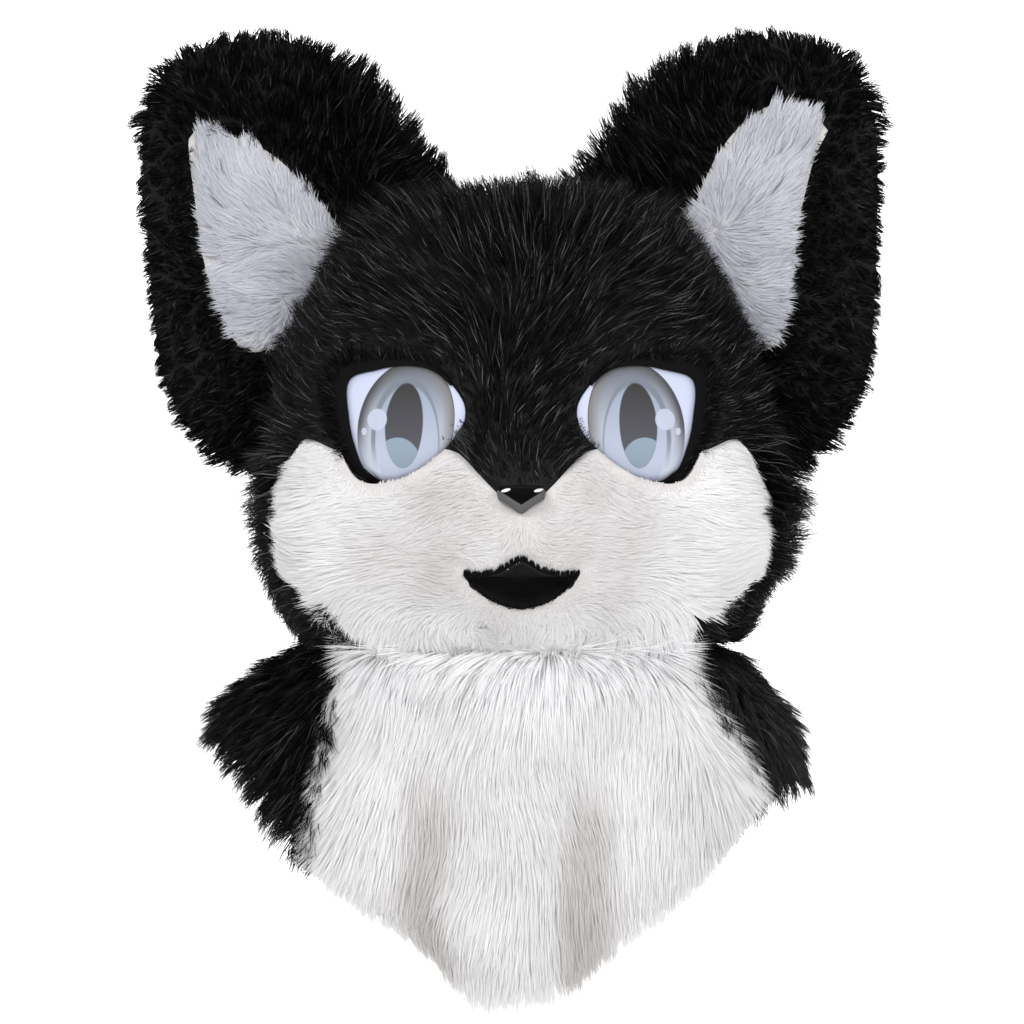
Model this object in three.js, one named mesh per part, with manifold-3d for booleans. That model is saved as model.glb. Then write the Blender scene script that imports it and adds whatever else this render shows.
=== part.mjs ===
// A plush animal head worn as a costume, in millimetres, +Z up, its face looking along -Y.
// A hollow foam base carries everything: a black fur hood, a white fur face, two cupped ears with white
// linings, domed eye plates under smooth lids, a nose and a mouth pocket. A white bib and a black cape hang
// from its neck rim. The origin is the inside of the crown, where the base sits on the wearer's head.
// Every fur panel is a cloth backing with one leaning lock of pile on each cell of its grid.

import * as THREE from "three";
import { mergeVertices } from "three/addons/utils/BufferGeometryUtils.js";
import Module from "manifold-3d";

const wasm = await Module();
wasm.setup();

// Foam base
const FOAM = 12; // wall of the base
const HEAD_HEIGHT = 251; // crown to neck rim, outside the foam
const HEAD_HALF_WIDTH = 140;
const HEAD_FRONT = 110; // from the head's upright axis to the face, without the muzzle
const HEAD_BACK = 128;
const HEAD_SQUARENESS = 2.2; // exponent of the sections' superellipse
// The muzzle: how far it stands out, its half width and half height, and its middle below the crown
const MUZZLE = { reach: 37, width: 52, rise: 47, below: 194 };
const CHEEK = { swell: 13, turn: 58, width: 24, rise: 46, below: 186 }; // turn and width in degrees

// Cloth, pile and the gaps between neighbours
const BACKING = 2;
const SEAM = 0.3; // gap at a seam
const UNDER = 0.5; // gap between the foam and the cloth on it
const PILE = { hood: 14, face: 7, ear: 12, lining: 7, bib: 12, cape: 14 }; // height of the locks
const TALLEST = 1.1; // the tallest lock, as a share of its panel's pile
const LEAN = 0.75; // how far a lock leans, as a share of its cell
const EDGE_LEAN = 0.35; // the same beside a seam or hem, so that the lock stays in its cell

// Where the white face begins: columns of the head's grid up to FACE_TURN degrees from the front
const FACE_TURN = 67;
const GRID = { faceColumns: 16, backColumns: 16, crownRows: 7, cheekRows: 5 };

// Eyes: plates with an outline drawn for the eye on +X, turned outwards
const EYE = { across: 66.5, below: 124, forward: 101, turn: 21, tip: 3, wall: 2, dome: 3.5 };
const EYE_HALF_WIDTH = 37.5;
const EYE_HALF_HEIGHT = 33.5;
const EYE_LEDGE = 5; // foam left behind the plate's edge
const LID = { wall: 3, lap: 1.5, bevel: 0.8 }; // the smooth lid in front of the plate laps over it
const CUT = 60; // how far a cut for an eye reaches to either side of its plate

// Nose and mouth
const NOSE = { halfWidth: 14, height: 17, stand: 8, bevel: 2.5, below: 167.5 };
const MOUTH = { halfWidth: 32.5, height: 27, below: 215, wall: 1.5, depth: 20 };

// Ears, measured in their own upright plane: the axis runs from the middle of the base to beyond the tip
const EAR = { length: 178, halfBase: 100, thick: 15, cup: 22, back: 12 };
const EAR_ACROSS = { left: 101.5, right: 95.5 }; // the middle of the base, from the head's upright axis
const EAR_BELOW = { left: 64, right: 66.5 }; // and below the crown
const EAR_TILT = { left: 53, right: 50 }; // from upright, outwards, in degrees
const EAR_TURN = { left: 8, right: 14 }; // towards the front, in degrees

// Bib and cape, which hang from the neck rim
const DRAPE_REACH = 170; // from the upright axis to the hem at the shoulders
const DRAPE_DROP = 192; // from the neck rim to the lowest point of the bib's hem
const DRAPE_INSET = 7; // the top edge lies this far inside the foam's rim
const BIB_TOP_TURN = { left: -55, right: 49 }; // the bib's side seams, in degrees from the front
const BIB_HEM_TURN = { left: -50, right: 65 };
const DRAPE_GRID = { bibColumns: 14, capeColumns: 22, rows: 8 };

// Shares of the head's height, half width, front and back, from the crown to the neck rim.
const HEAD_SECTIONS = [
  { arc: 0.0, drop: 0.0, wide: 0.0, front: 0.0, back: 0.0 },
  { arc: 0.08, drop: 0.008, wide: 0.28, front: 0.27, back: 0.29 },
  { arc: 0.2, drop: 0.062, wide: 0.62, front: 0.58, back: 0.63 },
  { arc: 0.33, drop: 0.185, wide: 0.84, front: 0.8, back: 0.86 },
  { arc: 0.46, drop: 0.35, wide: 0.95, front: 0.93, back: 0.97 },
  { arc: 0.6, drop: 0.54, wide: 0.99, front: 1.0, back: 1.0 },
  { arc: 0.74, drop: 0.73, wide: 1.0, front: 1.0, back: 0.98 },
  { arc: 0.87, drop: 0.89, wide: 0.97, front: 0.96, back: 0.96 },
  { arc: 0.95, drop: 0.965, wide: 0.91, front: 0.89, back: 0.93 },
  { arc: 1.0, drop: 1.0, wide: 0.84, front: 0.82, back: 0.91 },
];

// The seam over the white face, as a share of the head's height, by degrees from the front.
const FACE_SEAM = [
  { turn: 0, drop: 0.69 },
  { turn: 4, drop: 0.66 },
  { turn: 8.5, drop: 0.61 },
  { turn: 13, drop: 0.565 },
  { turn: 20, drop: 0.555 },
  { turn: 34, drop: 0.575 },
  { turn: 46, drop: 0.555 },
  { turn: 57, drop: 0.53 },
  { turn: 62, drop: 0.545 },
  { turn: 67, drop: 0.62 },
];

// The eye's outline in shares of its half width and half height, from the outer corner over the top.
const EYE_OUTLINE = [
  { out: 1.0, up: 0.76 },
  { out: 0.52, up: 0.93 },
  { out: 0.05, up: 1.0 },
  { out: -0.38, up: 0.92 },
  { out: -0.72, up: 0.64 },
  { out: -0.93, up: 0.27 },
  { out: -0.9, up: -0.08 },
  { out: -0.62, up: -0.5 },
  { out: -0.3, up: -0.78 },
  { out: 0.05, up: -0.96 },
  { out: 0.36, up: -1.0 },
  { out: 0.66, up: -0.84 },
  { out: 0.85, up: -0.42 },
  { out: 0.97, up: 0.1 },
];

// The lid's width round the eye, in millimetres beyond the outline, at the places of the outline's rows.
const LID_WIDTH = [
  { row: -4, beyond: 1.2 },
  { row: -3, beyond: 5 },
  { row: -2, beyond: 8 },
  { row: -1, beyond: 12 },
  { row: 0, beyond: 15 },
  { row: 1, beyond: 8 },
  { row: 2, beyond: 5 },
  { row: 3, beyond: 3 },
  { row: 4, beyond: 1.2 },
];

// The ear's edges towards the crown and the cheek at each height, in shares of its half base, with its
// thickness and cupping as shares too.
const EAR_SECTIONS = [
  { rise: -0.08, inner: -0.98, outer: 1.06, thick: 1.0, cup: 0.7 },
  { rise: 0.2, inner: -1.09, outer: 1.06, thick: 1.0, cup: 0.95 },
  { rise: 0.38, inner: -1.18, outer: 0.93, thick: 0.95, cup: 1.0 },
  { rise: 0.56, inner: -1.18, outer: 0.62, thick: 0.88, cup: 0.95 },
  { rise: 0.73, inner: -1.12, outer: 0.28, thick: 0.78, cup: 0.8 },
  { rise: 0.86, inner: -0.95, outer: 0.01, thick: 0.62, cup: 0.5 },
  { rise: 0.95, inner: -0.77, outer: -0.23, thick: 0.42, cup: 0.22 },
  { rise: 1.0, inner: -0.55, outer: -0.55, thick: 0.0, cup: 0.0 },
];
const EAR_ROWS = [1.0, 0.94, 0.87, 0.79, 0.68, 0.57, 0.46, 0.35, 0.22, 0.08, -0.08]; // tip first
const EAR_COLUMNS = [0, 0.1, 0.22, 0.33, 0.44, 0.55, 0.66, 0.77, 0.89]; // across the front, and back again
const EAR_CLEARANCE = 1.6 * PILE.ear; // round an ear, the hood's pile is trimmed this far from its skin
const LINING = { first: { left: 3, right: 2 }, columns: 4, firstRow: 3, lastRow: 8 };

// The hem of bib and cape: its distance from the axis and its drop below the rim, as shares, by degrees.
const HEM = [
  { turn: -180, reach: 0.95, drop: 0.83 },
  { turn: -150, reach: 0.96, drop: 0.76 },
  { turn: -120, reach: 0.99, drop: 0.52 },
  { turn: -100, reach: 1.0, drop: 0.34 },
  { turn: -86, reach: 1.01, drop: 0.26 },
  { turn: -70, reach: 0.95, drop: 0.41 },
  { turn: -50, reach: 0.84, drop: 0.66 },
  { turn: -36, reach: 0.78, drop: 0.81 },
  { turn: -18, reach: 0.73, drop: 0.96 },
  { turn: -4, reach: 0.71, drop: 1.01 },
  { turn: 14, reach: 0.72, drop: 0.96 },
  { turn: 32, reach: 0.77, drop: 0.81 },
  { turn: 50, reach: 0.85, drop: 0.6 },
  { turn: 64, reach: 0.89, drop: 0.44 },
  { turn: 84, reach: 0.92, drop: 0.41 },
  { turn: 104, reach: 0.96, drop: 0.42 },
  { turn: 126, reach: 0.97, drop: 0.56 },
  { turn: 152, reach: 0.96, drop: 0.77 },
  { turn: 180, reach: 0.95, drop: 0.83 },
];

// Folds of the drape: how far a ridge stands out, or a valley sinks in, at the hem.
const FOLD_DEPTH = 9;
const FOLDS = [
  { turn: -180, depth: 0.5 },
  { turn: -158, depth: -0.5 },
  { turn: -135, depth: 0.5 },
  { turn: -112, depth: -0.4 },
  { turn: -90, depth: 0.2 },
  { turn: -70, depth: -0.2 },
  { turn: -44, depth: 0.8 },
  { turn: -26, depth: -1.0 },
  { turn: -4, depth: 0.9 },
  { turn: 17, depth: -1.0 },
  { turn: 40, depth: 0.9 },
  { turn: 66, depth: -0.2 },
  { turn: 90, depth: 0.2 },
  { turn: 112, depth: -0.4 },
  { turn: 135, depth: 0.5 },
  { turn: 158, depth: -0.5 },
  { turn: 180, depth: 0.5 },
];

const CROWN = FOAM; // height of the foam's outside at the crown
const RIM = CROWN - HEAD_HEIGHT; // height of the neck rim
const BLACK = { color: 0x0b0b0d, roughness: 0.9, metalness: 0 };
const WHITE = { color: 0xe9e8ee, roughness: 0.9, metalness: 0 };

const radians = (degrees) => (degrees * Math.PI) / 180;
const mix = (from, to, share) => from + (to - from) * share;
const signedPower = (value, power) => Math.sign(value) * Math.abs(value) ** power;

// A number from 0 to 1 that depends on a cell alone, so that locks differ and every build is the same.
function chance(column, row, salt) {
  const raw = Math.sin(column * 12.9898 + row * 78.233 + salt * 37.719) * 43758.5453;
  return raw - Math.floor(raw);
}

// One column of a table, read at a place along another, as a smooth curve through its rows.
function read(table, along, at, column) {
  const last = table.length - 1;
  let k = 0;
  while (k < last - 1 && table[k + 1][along] < at) k += 1;
  const slope = (row) => {
    const before = table[Math.max(row - 1, 0)];
    const after = table[Math.min(row + 1, last)];
    return (after[column] - before[column]) / (after[along] - before[along]);
  };
  const span = table[k + 1][along] - table[k][along];
  const s = Math.min(Math.max((at - table[k][along]) / span, 0), 1);
  const bend = s * s * (3 - 2 * s);
  const start = slope(k) * span * s * (1 - s) ** 2;
  const end = slope(k + 1) * span * s * s * (s - 1);
  return mix(table[k][column], table[k + 1][column], bend) + start + end;
}

// The head's outside of foam

function headPlace(turn, arc) {
  const angle = radians(turn);
  const round = 2 / HEAD_SQUARENESS;
  const aside = signedPower(Math.sin(angle), round);
  const ahead = signedPower(Math.cos(angle), round);
  const z = CROWN - HEAD_HEIGHT * read(HEAD_SECTIONS, "arc", arc, "drop");
  const x = HEAD_HALF_WIDTH * read(HEAD_SECTIONS, "arc", arc, "wide") * aside;
  const deep =
    ahead > 0
      ? HEAD_FRONT * read(HEAD_SECTIONS, "arc", arc, "front")
      : HEAD_BACK * read(HEAD_SECTIONS, "arc", arc, "back");
  const place = new THREE.Vector3(x, -deep * ahead, z);
  const muzzle =
    MUZZLE.reach *
    Math.exp(-((x / MUZZLE.width) ** 2)) *
    Math.exp(-(Math.abs((z - CROWN + MUZZLE.below) / MUZZLE.rise) ** 3));
  if (ahead > 0) place.y -= muzzle;
  const cheek =
    CHEEK.swell *
    Math.exp(-(((Math.abs(turn) - CHEEK.turn) / CHEEK.width) ** 2)) *
    Math.exp(-(((z - CROWN + CHEEK.below) / CHEEK.rise) ** 2));
  place.x += cheek * Math.sin(angle);
  place.y -= cheek * Math.cos(angle);
  return place;
}

// The direction straight out of a surface whose place is a function of two numbers.
function outward(place, u, v, du, dv) {
  const across = place(u + du, v).sub(place(u - du, v));
  const along = place(u, v + dv).sub(place(u, v - dv));
  return across.cross(along).normalize();
}

function headNormal(turn, arc) {
  if (arc < 1e-6) return new THREE.Vector3(0, 0, 1);
  const step = 0.002;
  const normal = outward(headPlace, turn, Math.min(Math.max(arc, 0.01), 1 - step), 0.2, step).negate();
  if (arc > 1 - 1e-6) normal.z = 0; // the neck rim stays level
  return normal.normalize();
}

function headSpot(turn, arc, offset) {
  return headPlace(turn, arc).addScaledVector(headNormal(turn, arc), offset);
}

// The arc at which the head has dropped by a share of its height.
function arcAtDrop(drop) {
  let low = 0;
  let high = 1;
  for (let step = 0; step < 30; step += 1) {
    const middle = (low + high) / 2;
    if (read(HEAD_SECTIONS, "arc", middle, "drop") < drop) low = middle;
    else high = middle;
  }
  return (low + high) / 2;
}

const seamArc = (turn) => arcAtDrop(read(FACE_SEAM, "turn", Math.min(Math.abs(turn), FACE_TURN), "drop"));

// The head's grid: columns round it, of which the first ones cover the face, and rows from crown to rim.
const HEAD_COLUMNS = GRID.faceColumns + GRID.backColumns;
const HEAD_ROWS = GRID.crownRows + GRID.cheekRows;

function columnTurn(column) {
  if (column <= GRID.faceColumns) return mix(-FACE_TURN, FACE_TURN, column / GRID.faceColumns);
  return mix(FACE_TURN, 360 - FACE_TURN, (column - GRID.faceColumns) / GRID.backColumns);
}

const wrapTurn = (turn) => (turn > 180 ? turn - 360 : turn);

function rowArc(turn, row) {
  const seam = seamArc(wrapTurn(turn));
  if (row <= GRID.crownRows) return (seam * row) / GRID.crownRows;
  return mix(seam, 1, (row - GRID.crownRows) / GRID.cheekRows);
}

function headGrid(offset) {
  return (column, row) => {
    const turn = columnTurn(column % HEAD_COLUMNS);
    return headSpot(wrapTurn(turn), rowArc(turn, row), offset);
  };
}

// Meshes

// A closed solid from a list of triangles, each of three points. Faces with no area are left out.
function solidOf(triangles) {
  const flat = new Float32Array(triangles.length * 9);
  triangles.forEach((corners, t) => corners.forEach((p, k) => flat.set([p.x, p.y, p.z], t * 9 + k * 3)));
  const loose = new THREE.BufferGeometry().setAttribute("position", new THREE.BufferAttribute(flat, 3));
  return solidOfGeometry(loose);
}

function solidOfGeometry(source) {
  const loose = source.clone();
  loose.deleteAttribute("normal");
  loose.deleteAttribute("uv");
  const merged = mergeVertices(loose, 1e-3);
  const kept = [];
  for (let i = 0; i < merged.index.count; i += 3) {
    const corners = [0, 1, 2].map((k) => merged.index.getX(i + k));
    if (new Set(corners).size === 3) kept.push(...corners);
  }
  const points = merged.attributes.position.array;
  const mesh = { numProp: 3, vertProperties: points, triVerts: new Uint32Array(kept) };
  return new wasm.Manifold(new wasm.Mesh(mesh));
}

function meshOf(solid, name, finish) {
  const made = solid.getMesh();
  const geometry = new THREE.BufferGeometry();
  geometry.setAttribute("position", new THREE.BufferAttribute(Float32Array.from(made.vertProperties), 3));
  geometry.setIndex(new THREE.BufferAttribute(Uint32Array.from(made.triVerts), 1));
  geometry.computeVertexNormals();
  const mesh = new THREE.Mesh(geometry, new THREE.MeshStandardMaterial(finish));
  mesh.name = name;
  return mesh;
}

// A cut can leave loose crumbs of a lock beside the panel: only the panel is kept.
function largestBody(solid) {
  return solid.decompose().reduce((best, body) => (body.volume() > best.volume() ? body : best));
}

const quad = (a, b, c, d) => [
  [a, b, c],
  [a, c, d],
];

// A closed surface of rows from a pole at row 0 to a flat cap at the last row.
function lofted(spot, columns, rows) {
  const triangles = [];
  const centre = new THREE.Vector3();
  for (let i = 0; i < columns; i += 1) centre.addScaledVector(spot(i, rows), 1 / columns);
  for (let i = 0; i < columns; i += 1) {
    const next = (i + 1) % columns;
    for (let j = 0; j < rows; j += 1) {
      triangles.push(...quad(spot(i, j), spot(i, j + 1), spot(next, j + 1), spot(next, j)));
    }
    triangles.push([centre, spot(next, rows), spot(i, rows)]);
  }
  return solidOf(triangles);
}

// The tip of the lock on one cell: it stands on the cell's middle and leans the way the pile is combed.
function lockTip(corners, pile, comb, lean, column, row) {
  const middle = corners.reduce((sum, p) => sum.add(p), new THREE.Vector3()).multiplyScalar(1 / 4);
  const across = corners[2].clone().sub(corners[0]);
  const normal = across.clone().cross(corners[3].clone().sub(corners[1])).normalize();
  const size = Math.sqrt(across.length() * corners[3].distanceTo(corners[1])) / Math.SQRT2;
  const lie = comb.clone().addScaledVector(normal, -comb.dot(normal)).normalize();
  return middle
    .addScaledVector(normal, pile * mix(0.75, TALLEST, chance(column, row, 1)))
    .addScaledVector(lie, size * lean * mix(0.8, 1.1, chance(column, row, 2)));
}

const everyCell = () => true;

// A fur panel. spot(column, row, offset) is a place on what the cloth lies on, raised by an offset.
// covers(column, row) says which cells are cloth, and furred(column, row) which of those have a lock.
function furPanel(panel) {
  const { columns, rows, closed, gap, pile, spot, comb, covers = everyCell, furred = everyCell } = panel;
  const triangles = [];
  const there = (i, j) => {
    if (j < 0 || j >= rows) return false;
    if (!closed && (i < 0 || i >= columns)) return false;
    return covers((i + columns) % columns, j);
  };
  for (let i = 0; i < columns; i += 1) {
    const next = closed ? (i + 1) % columns : i + 1;
    for (let j = 0; j < rows; j += 1) {
      if (!there(i, j)) continue;
      const ring = [
        [i, j],
        [i, j + 1],
        [next, j + 1],
        [next, j],
      ];
      const outer = ring.map(([c, r]) => spot(c, r, gap + BACKING));
      const inner = ring.map(([c, r]) => spot(c, r, gap));
      const open = [there(i - 1, j), there(i, j + 1), there(i + 1, j), there(i, j - 1)].map((x) => !x);
      const lean = open.some(Boolean) ? EDGE_LEAN : LEAN;
      if (furred(i, j)) {
        const tip = lockTip(outer, pile, comb(outer[0]), lean, i, j);
        for (let k = 0; k < 4; k += 1) triangles.push([outer[k], outer[(k + 1) % 4], tip]);
      } else triangles.push(...quad(...outer));
      triangles.push(...quad(inner[2], inner[1], inner[0], inner[3]));
      for (let k = 0; k < 4; k += 1) {
        const l = (k + 1) % 4;
        if (open[k]) triangles.push(...quad(outer[l], outer[k], inner[k], inner[l]));
      }
    }
  }
  return solidOf(triangles);
}

// The head's smooth solid, raised by an offset: what pieces that sit on it are cut by.
const headSolid = (offset) => lofted(headGrid(offset), HEAD_COLUMNS, HEAD_ROWS);

// The foam's hollow, open below.
function headHollow() {
  const columns = 22;
  const rows = 10;
  const spot = (column, row) => {
    const turn = wrapTurn((column * 360) / columns);
    if (row < rows) return headSpot(turn, row / (rows - 1), -FOAM);
    return headSpot(turn, 1, -FOAM).setZ(RIM - FOAM);
  };
  return lofted(spot, columns, rows);
}

// Pile on the head is combed up and outwards from the nose in front, and down behind.
const NOSE_BRIDGE = new THREE.Vector3(0, -HEAD_FRONT, CROWN - NOSE.below);
function hoodComb(p) {
  if (p.y < 0) return p.clone().sub(NOSE_BRIDGE).add(new THREE.Vector3(0, HEAD_FRONT / 2, 0));
  return new THREE.Vector3(p.x, p.y, -HEAD_HEIGHT / 2);
}
const faceComb = (p) => new THREE.Vector3(p.x * 2, 0, -HEAD_FRONT / 2);

const isFaceCell = (column, row) => column < GRID.faceColumns && row >= GRID.crownRows;

function makeHood() {
  return furPanel({
    columns: HEAD_COLUMNS,
    rows: HEAD_ROWS,
    closed: true,
    gap: UNDER,
    pile: PILE.hood,
    spot: (column, row, offset) => headGrid(offset)(column, row),
    comb: hoodComb,
    covers: (column, row) => !isFaceCell(column, row),
    furred: (column, row) => row < HEAD_ROWS - 1,
  });
}

function makeFace() {
  const shrink = 1 - SEAM / (HEAD_HALF_WIDTH * radians(FACE_TURN));
  const seamStep = SEAM / HEAD_HEIGHT;
  return furPanel({
    columns: GRID.faceColumns,
    rows: GRID.cheekRows,
    closed: false,
    gap: UNDER,
    pile: PILE.face,
    spot: (column, row, offset) => {
      const turn = columnTurn(column) * shrink;
      return headSpot(turn, mix(seamArc(turn) + seamStep, 1, row / GRID.cheekRows), offset);
    },
    comb: faceComb,
    furred: (column, row) => row < GRID.cheekRows - 1,
  });
}

// Outlines in the front's own plane, as lists of Vector2

const spline = (points, count, closed) =>
  new THREE.CatmullRomCurve3(points.map((p) => new THREE.Vector3(p.x, p.y, 0)), closed, "centripetal")
    .getPoints(count)
    .slice(0, closed ? count : count + 1)
    .map((p) => new THREE.Vector2(p.x, p.y));

const eyePoint = ({ out, up }) => new THREE.Vector2(out * EYE_HALF_WIDTH, up * EYE_HALF_HEIGHT);
const EYE_POINTS = EYE_OUTLINE.map(eyePoint);
const EYE_STEPS = 28;
const eyeOutline = () => spline(EYE_POINTS, EYE_STEPS, true);

// The outline moved straight out by a distance that may differ from point to point.
function grown(points, distance) {
  const count = points.length;
  return points.map((p, k) => {
    const along = points[(k + 1) % count].clone().sub(points[(k + count - 1) % count]).normalize();
    return p.clone().add(new THREE.Vector2(along.y, -along.x).multiplyScalar(distance(k)));
  });
}

// A straight prism over an outline (x, z), from y = near to y = far.
function prism(points, near, far) {
  const anticlockwise = THREE.ShapeUtils.isClockWise(points) ? points.slice().reverse() : points;
  const outline = new THREE.Shape(anticlockwise);
  const body = new THREE.ExtrudeGeometry(outline, { depth: far - near, bevelEnabled: false });
  return body.rotateX(Math.PI / 2).translate(0, far, 0);
}

const eyeDome = (x, z) => EYE.dome * ((x / EYE_HALF_WIDTH) ** 2 + (z / EYE_HALF_HEIGHT) ** 2);

// Places what is drawn for the eye on +X: its plane is turned outwards and tipped up, and -Y looks forward.
function eyeMatrix(side) {
  const turn = new THREE.Matrix4().makeRotationZ(radians(EYE.turn));
  const tip = new THREE.Matrix4().makeRotationX(radians(-EYE.tip));
  const at = new THREE.Matrix4().makeTranslation(EYE.across, -EYE.forward, CROWN - EYE.below);
  return mirror(side).multiply(at.multiply(turn).multiply(tip));
}

const mirror = (side) => new THREE.Matrix4().makeScale(side, 1, 1);

// A mirrored solid needs its faces turned round.
function placed(geometry, matrix) {
  const flat = (geometry.index ? geometry.toNonIndexed() : geometry.clone()).applyMatrix4(matrix);
  if (matrix.determinant() < 0) {
    const p = flat.attributes.position;
    for (let i = 0; i < p.count; i += 3) {
      const b = [p.getX(i + 1), p.getY(i + 1), p.getZ(i + 1)];
      p.setXYZ(i + 1, p.getX(i + 2), p.getY(i + 2), p.getZ(i + 2));
      p.setXYZ(i + 2, ...b);
    }
  }
  return flat;
}

// A domed plate over an outline: rings of its points from the middle to the edge, in front and behind.
function domedPlate(points, rings, front, wall, dome) {
  const triangles = [];
  const at = (ring, k, y) => {
    const p = points[k % points.length].clone().multiplyScalar(ring / rings);
    return new THREE.Vector3(p.x, y + dome(p.x, p.y), p.y);
  };
  for (let k = 0; k < points.length; k += 1) {
    for (let ring = 0; ring < rings; ring += 1) {
      const patch = (y) => [at(ring, k, y), at(ring + 1, k, y), at(ring + 1, k + 1, y), at(ring, k + 1, y)];
      triangles.push(...quad(...patch(front)));
      triangles.push(...quad(...patch(front + wall).reverse()));
    }
    const [a, b] = [at(rings, k, front), at(rings, k + 1, front)];
    triangles.push(...quad(a, at(rings, k, front + wall), at(rings, k + 1, front + wall), b));
  }
  return triangles;
}

function geometryOf(triangles) {
  const points = triangles.flat();
  return new THREE.BufferGeometry().setFromPoints(points);
}

// The plate's outline runs anticlockwise seen from the front, which the domed plate relies on.
function makeEye(side) {
  const plate = domedPlate(eyeOutline(), 2, 0, EYE.wall, eyeDome);
  return solidOfGeometry(placed(geometryOf(plate), eyeMatrix(side)));
}

// The stretch of the eye's outline that has a lid, from the nose over the top to the cheek: its edge on the
// plate and its edge on the fur, both moved apart by an extra distance.
function lidStretch(extra) {
  const dense = spline(EYE_POINTS, EYE_POINTS.length * 4, true);
  const count = dense.length;
  const first = LID_WIDTH[0].row * 4;
  const last = LID_WIDTH[LID_WIDTH.length - 1].row * 4;
  const width = (k) => read(LID_WIDTH, "row", (k > count / 2 ? k - count : k) / 4, "beyond");
  const wide = grown(dense, (k) => width(k) + extra);
  const lapped = grown(dense, () => -LID.lap - extra);
  const inner = [];
  const outer = [];
  for (let k = last; k >= first; k -= 2) {
    inner.push(lapped[(k + count) % count]);
    outer.push(wide[(k + count) % count]);
  }
  return { inner, outer };
}

// The lid between two depths in front of the plate, or what is cut away for it when it is grown.
function lidBody(side, front, back, bevel, extra) {
  const { inner, outer } = lidStretch(extra);
  const triangles = [];
  const at = (p, y) => new THREE.Vector3(p.x, y + eyeDome(p.x, p.y), p.y);
  const profile = (k) => {
    const step = outer[k].clone().sub(inner[k]).setLength(bevel);
    const edge = [at(inner[k].clone().add(step), front), at(outer[k].clone().sub(step), front)];
    const rear = [at(outer[k], back), at(inner[k], back)];
    return [at(inner[k], front + bevel), ...edge, at(outer[k], front + bevel), ...rear];
  };
  const last = inner.length - 1;
  for (let k = 0; k < last; k += 1) {
    const [a, b] = [profile(k), profile(k + 1)];
    a.forEach((p, m) => triangles.push(...quad(p, b[m], b[(m + 1) % a.length], a[(m + 1) % a.length])));
  }
  for (let m = 1; m < 5; m += 1) {
    triangles.push([profile(0)[0], profile(0)[m], profile(0)[m + 1]]);
    triangles.push([profile(last)[0], profile(last)[m + 1], profile(last)[m]]);
  }
  return solidOfGeometry(placed(geometryOf(triangles), eyeMatrix(side)));
}

const makeLid = (side) => lidBody(side, -SEAM - LID.wall, -SEAM, LID.bevel, 0);

// What is cut for an eye: a socket right through the fur, and in the foam a pocket for plate and lid
// with a window behind the plate to look out of.
function eyeSocket(side) {
  const eye = prism(grown(eyeOutline(), () => SEAM + UNDER), -CUT, CUT);
  return solidOfGeometry(placed(eye, eyeMatrix(side))).add(lidBody(side, -CUT, CUT, SEAM, SEAM));
}

function eyePocket(side) {
  const pocket = domedPlate(grown(eyeOutline(), () => SEAM), 2, EYE.wall + SEAM - CUT, CUT, eyeDome);
  const window = prism(grown(eyeOutline(), () => -EYE_LEDGE), -CUT, CUT);
  return [pocket, window]
    .map((cut, k) => solidOfGeometry(placed(k ? cut : geometryOf(cut), eyeMatrix(side))))
    .reduce((a, b) => a.add(b))
    .add(lidBody(side, -CUT, 0, SEAM, SEAM));
}

// Nose: a rounded triangle, point down, with a bevelled front

function noseOutline(extra) {
  const half = NOSE.halfWidth + extra;
  const top = NOSE.height * 0.42 + extra;
  const tip = -NOSE.height * 0.58 - extra;
  const shape = new THREE.Shape();
  shape.moveTo(0, tip);
  shape.quadraticCurveTo(half * 0.12, tip, half * 0.3, tip * 0.72);
  shape.quadraticCurveTo(half * 0.62, tip * 0.3, half * 0.92, tip * 0.05);
  shape.quadraticCurveTo(half * 1.08, top * 0.7, half * 0.8, top);
  shape.quadraticCurveTo(0, top * 1.15, -half * 0.8, top);
  shape.quadraticCurveTo(-half * 1.08, top * 0.7, -half * 0.92, tip * 0.05);
  shape.quadraticCurveTo(-half * 0.62, tip * 0.3, -half * 0.3, tip * 0.72);
  shape.quadraticCurveTo(-half * 0.12, tip, 0, tip);
  return shape;
}

const frontAt = (below) => headSpot(0, arcAtDrop(below / HEAD_HEIGHT), 0).y;

function noseBody(extra) {
  const skin = frontAt(NOSE.below) - UNDER - BACKING;
  const bevel = NOSE.bevel;
  const body = new THREE.ExtrudeGeometry(noseOutline(extra - bevel), {
    depth: NOSE.stand + FOAM - bevel,
    bevelEnabled: true,
    bevelThickness: bevel,
    bevelSize: bevel,
    bevelSegments: 2,
    curveSegments: 4,
  });
  body.rotateX(Math.PI / 2).translate(0, skin + FOAM - bevel, CROWN - NOSE.below);
  return solidOfGeometry(body);
}

// Mouth: a crescent with a peak in the middle of its upper edge, and a pocket behind it

function mouthOutline(extra) {
  const half = MOUTH.halfWidth;
  const high = MOUTH.height;
  const shape = new THREE.Shape();
  shape.moveTo(-half, high * 0.16);
  shape.quadraticCurveTo(-half * 0.62, -high * 0.5, 0, -high * 0.55);
  shape.quadraticCurveTo(half * 0.62, -high * 0.5, half, high * 0.16);
  shape.quadraticCurveTo(half * 0.5, high * 0.06, half * 0.22, high * 0.32);
  shape.quadraticCurveTo(half * 0.08, high * 0.45, 0, high * 0.45);
  shape.quadraticCurveTo(-half * 0.08, high * 0.45, -half * 0.22, high * 0.32);
  shape.quadraticCurveTo(-half * 0.5, high * 0.06, -half, high * 0.16);
  return grown(shape.getPoints(4).slice(0, -1), () => extra);
}

function mouthPrism(extra, near, far) {
  return solidOfGeometry(prism(mouthOutline(extra), near, far).translate(0, 0, CROWN - MOUTH.below));
}

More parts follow.
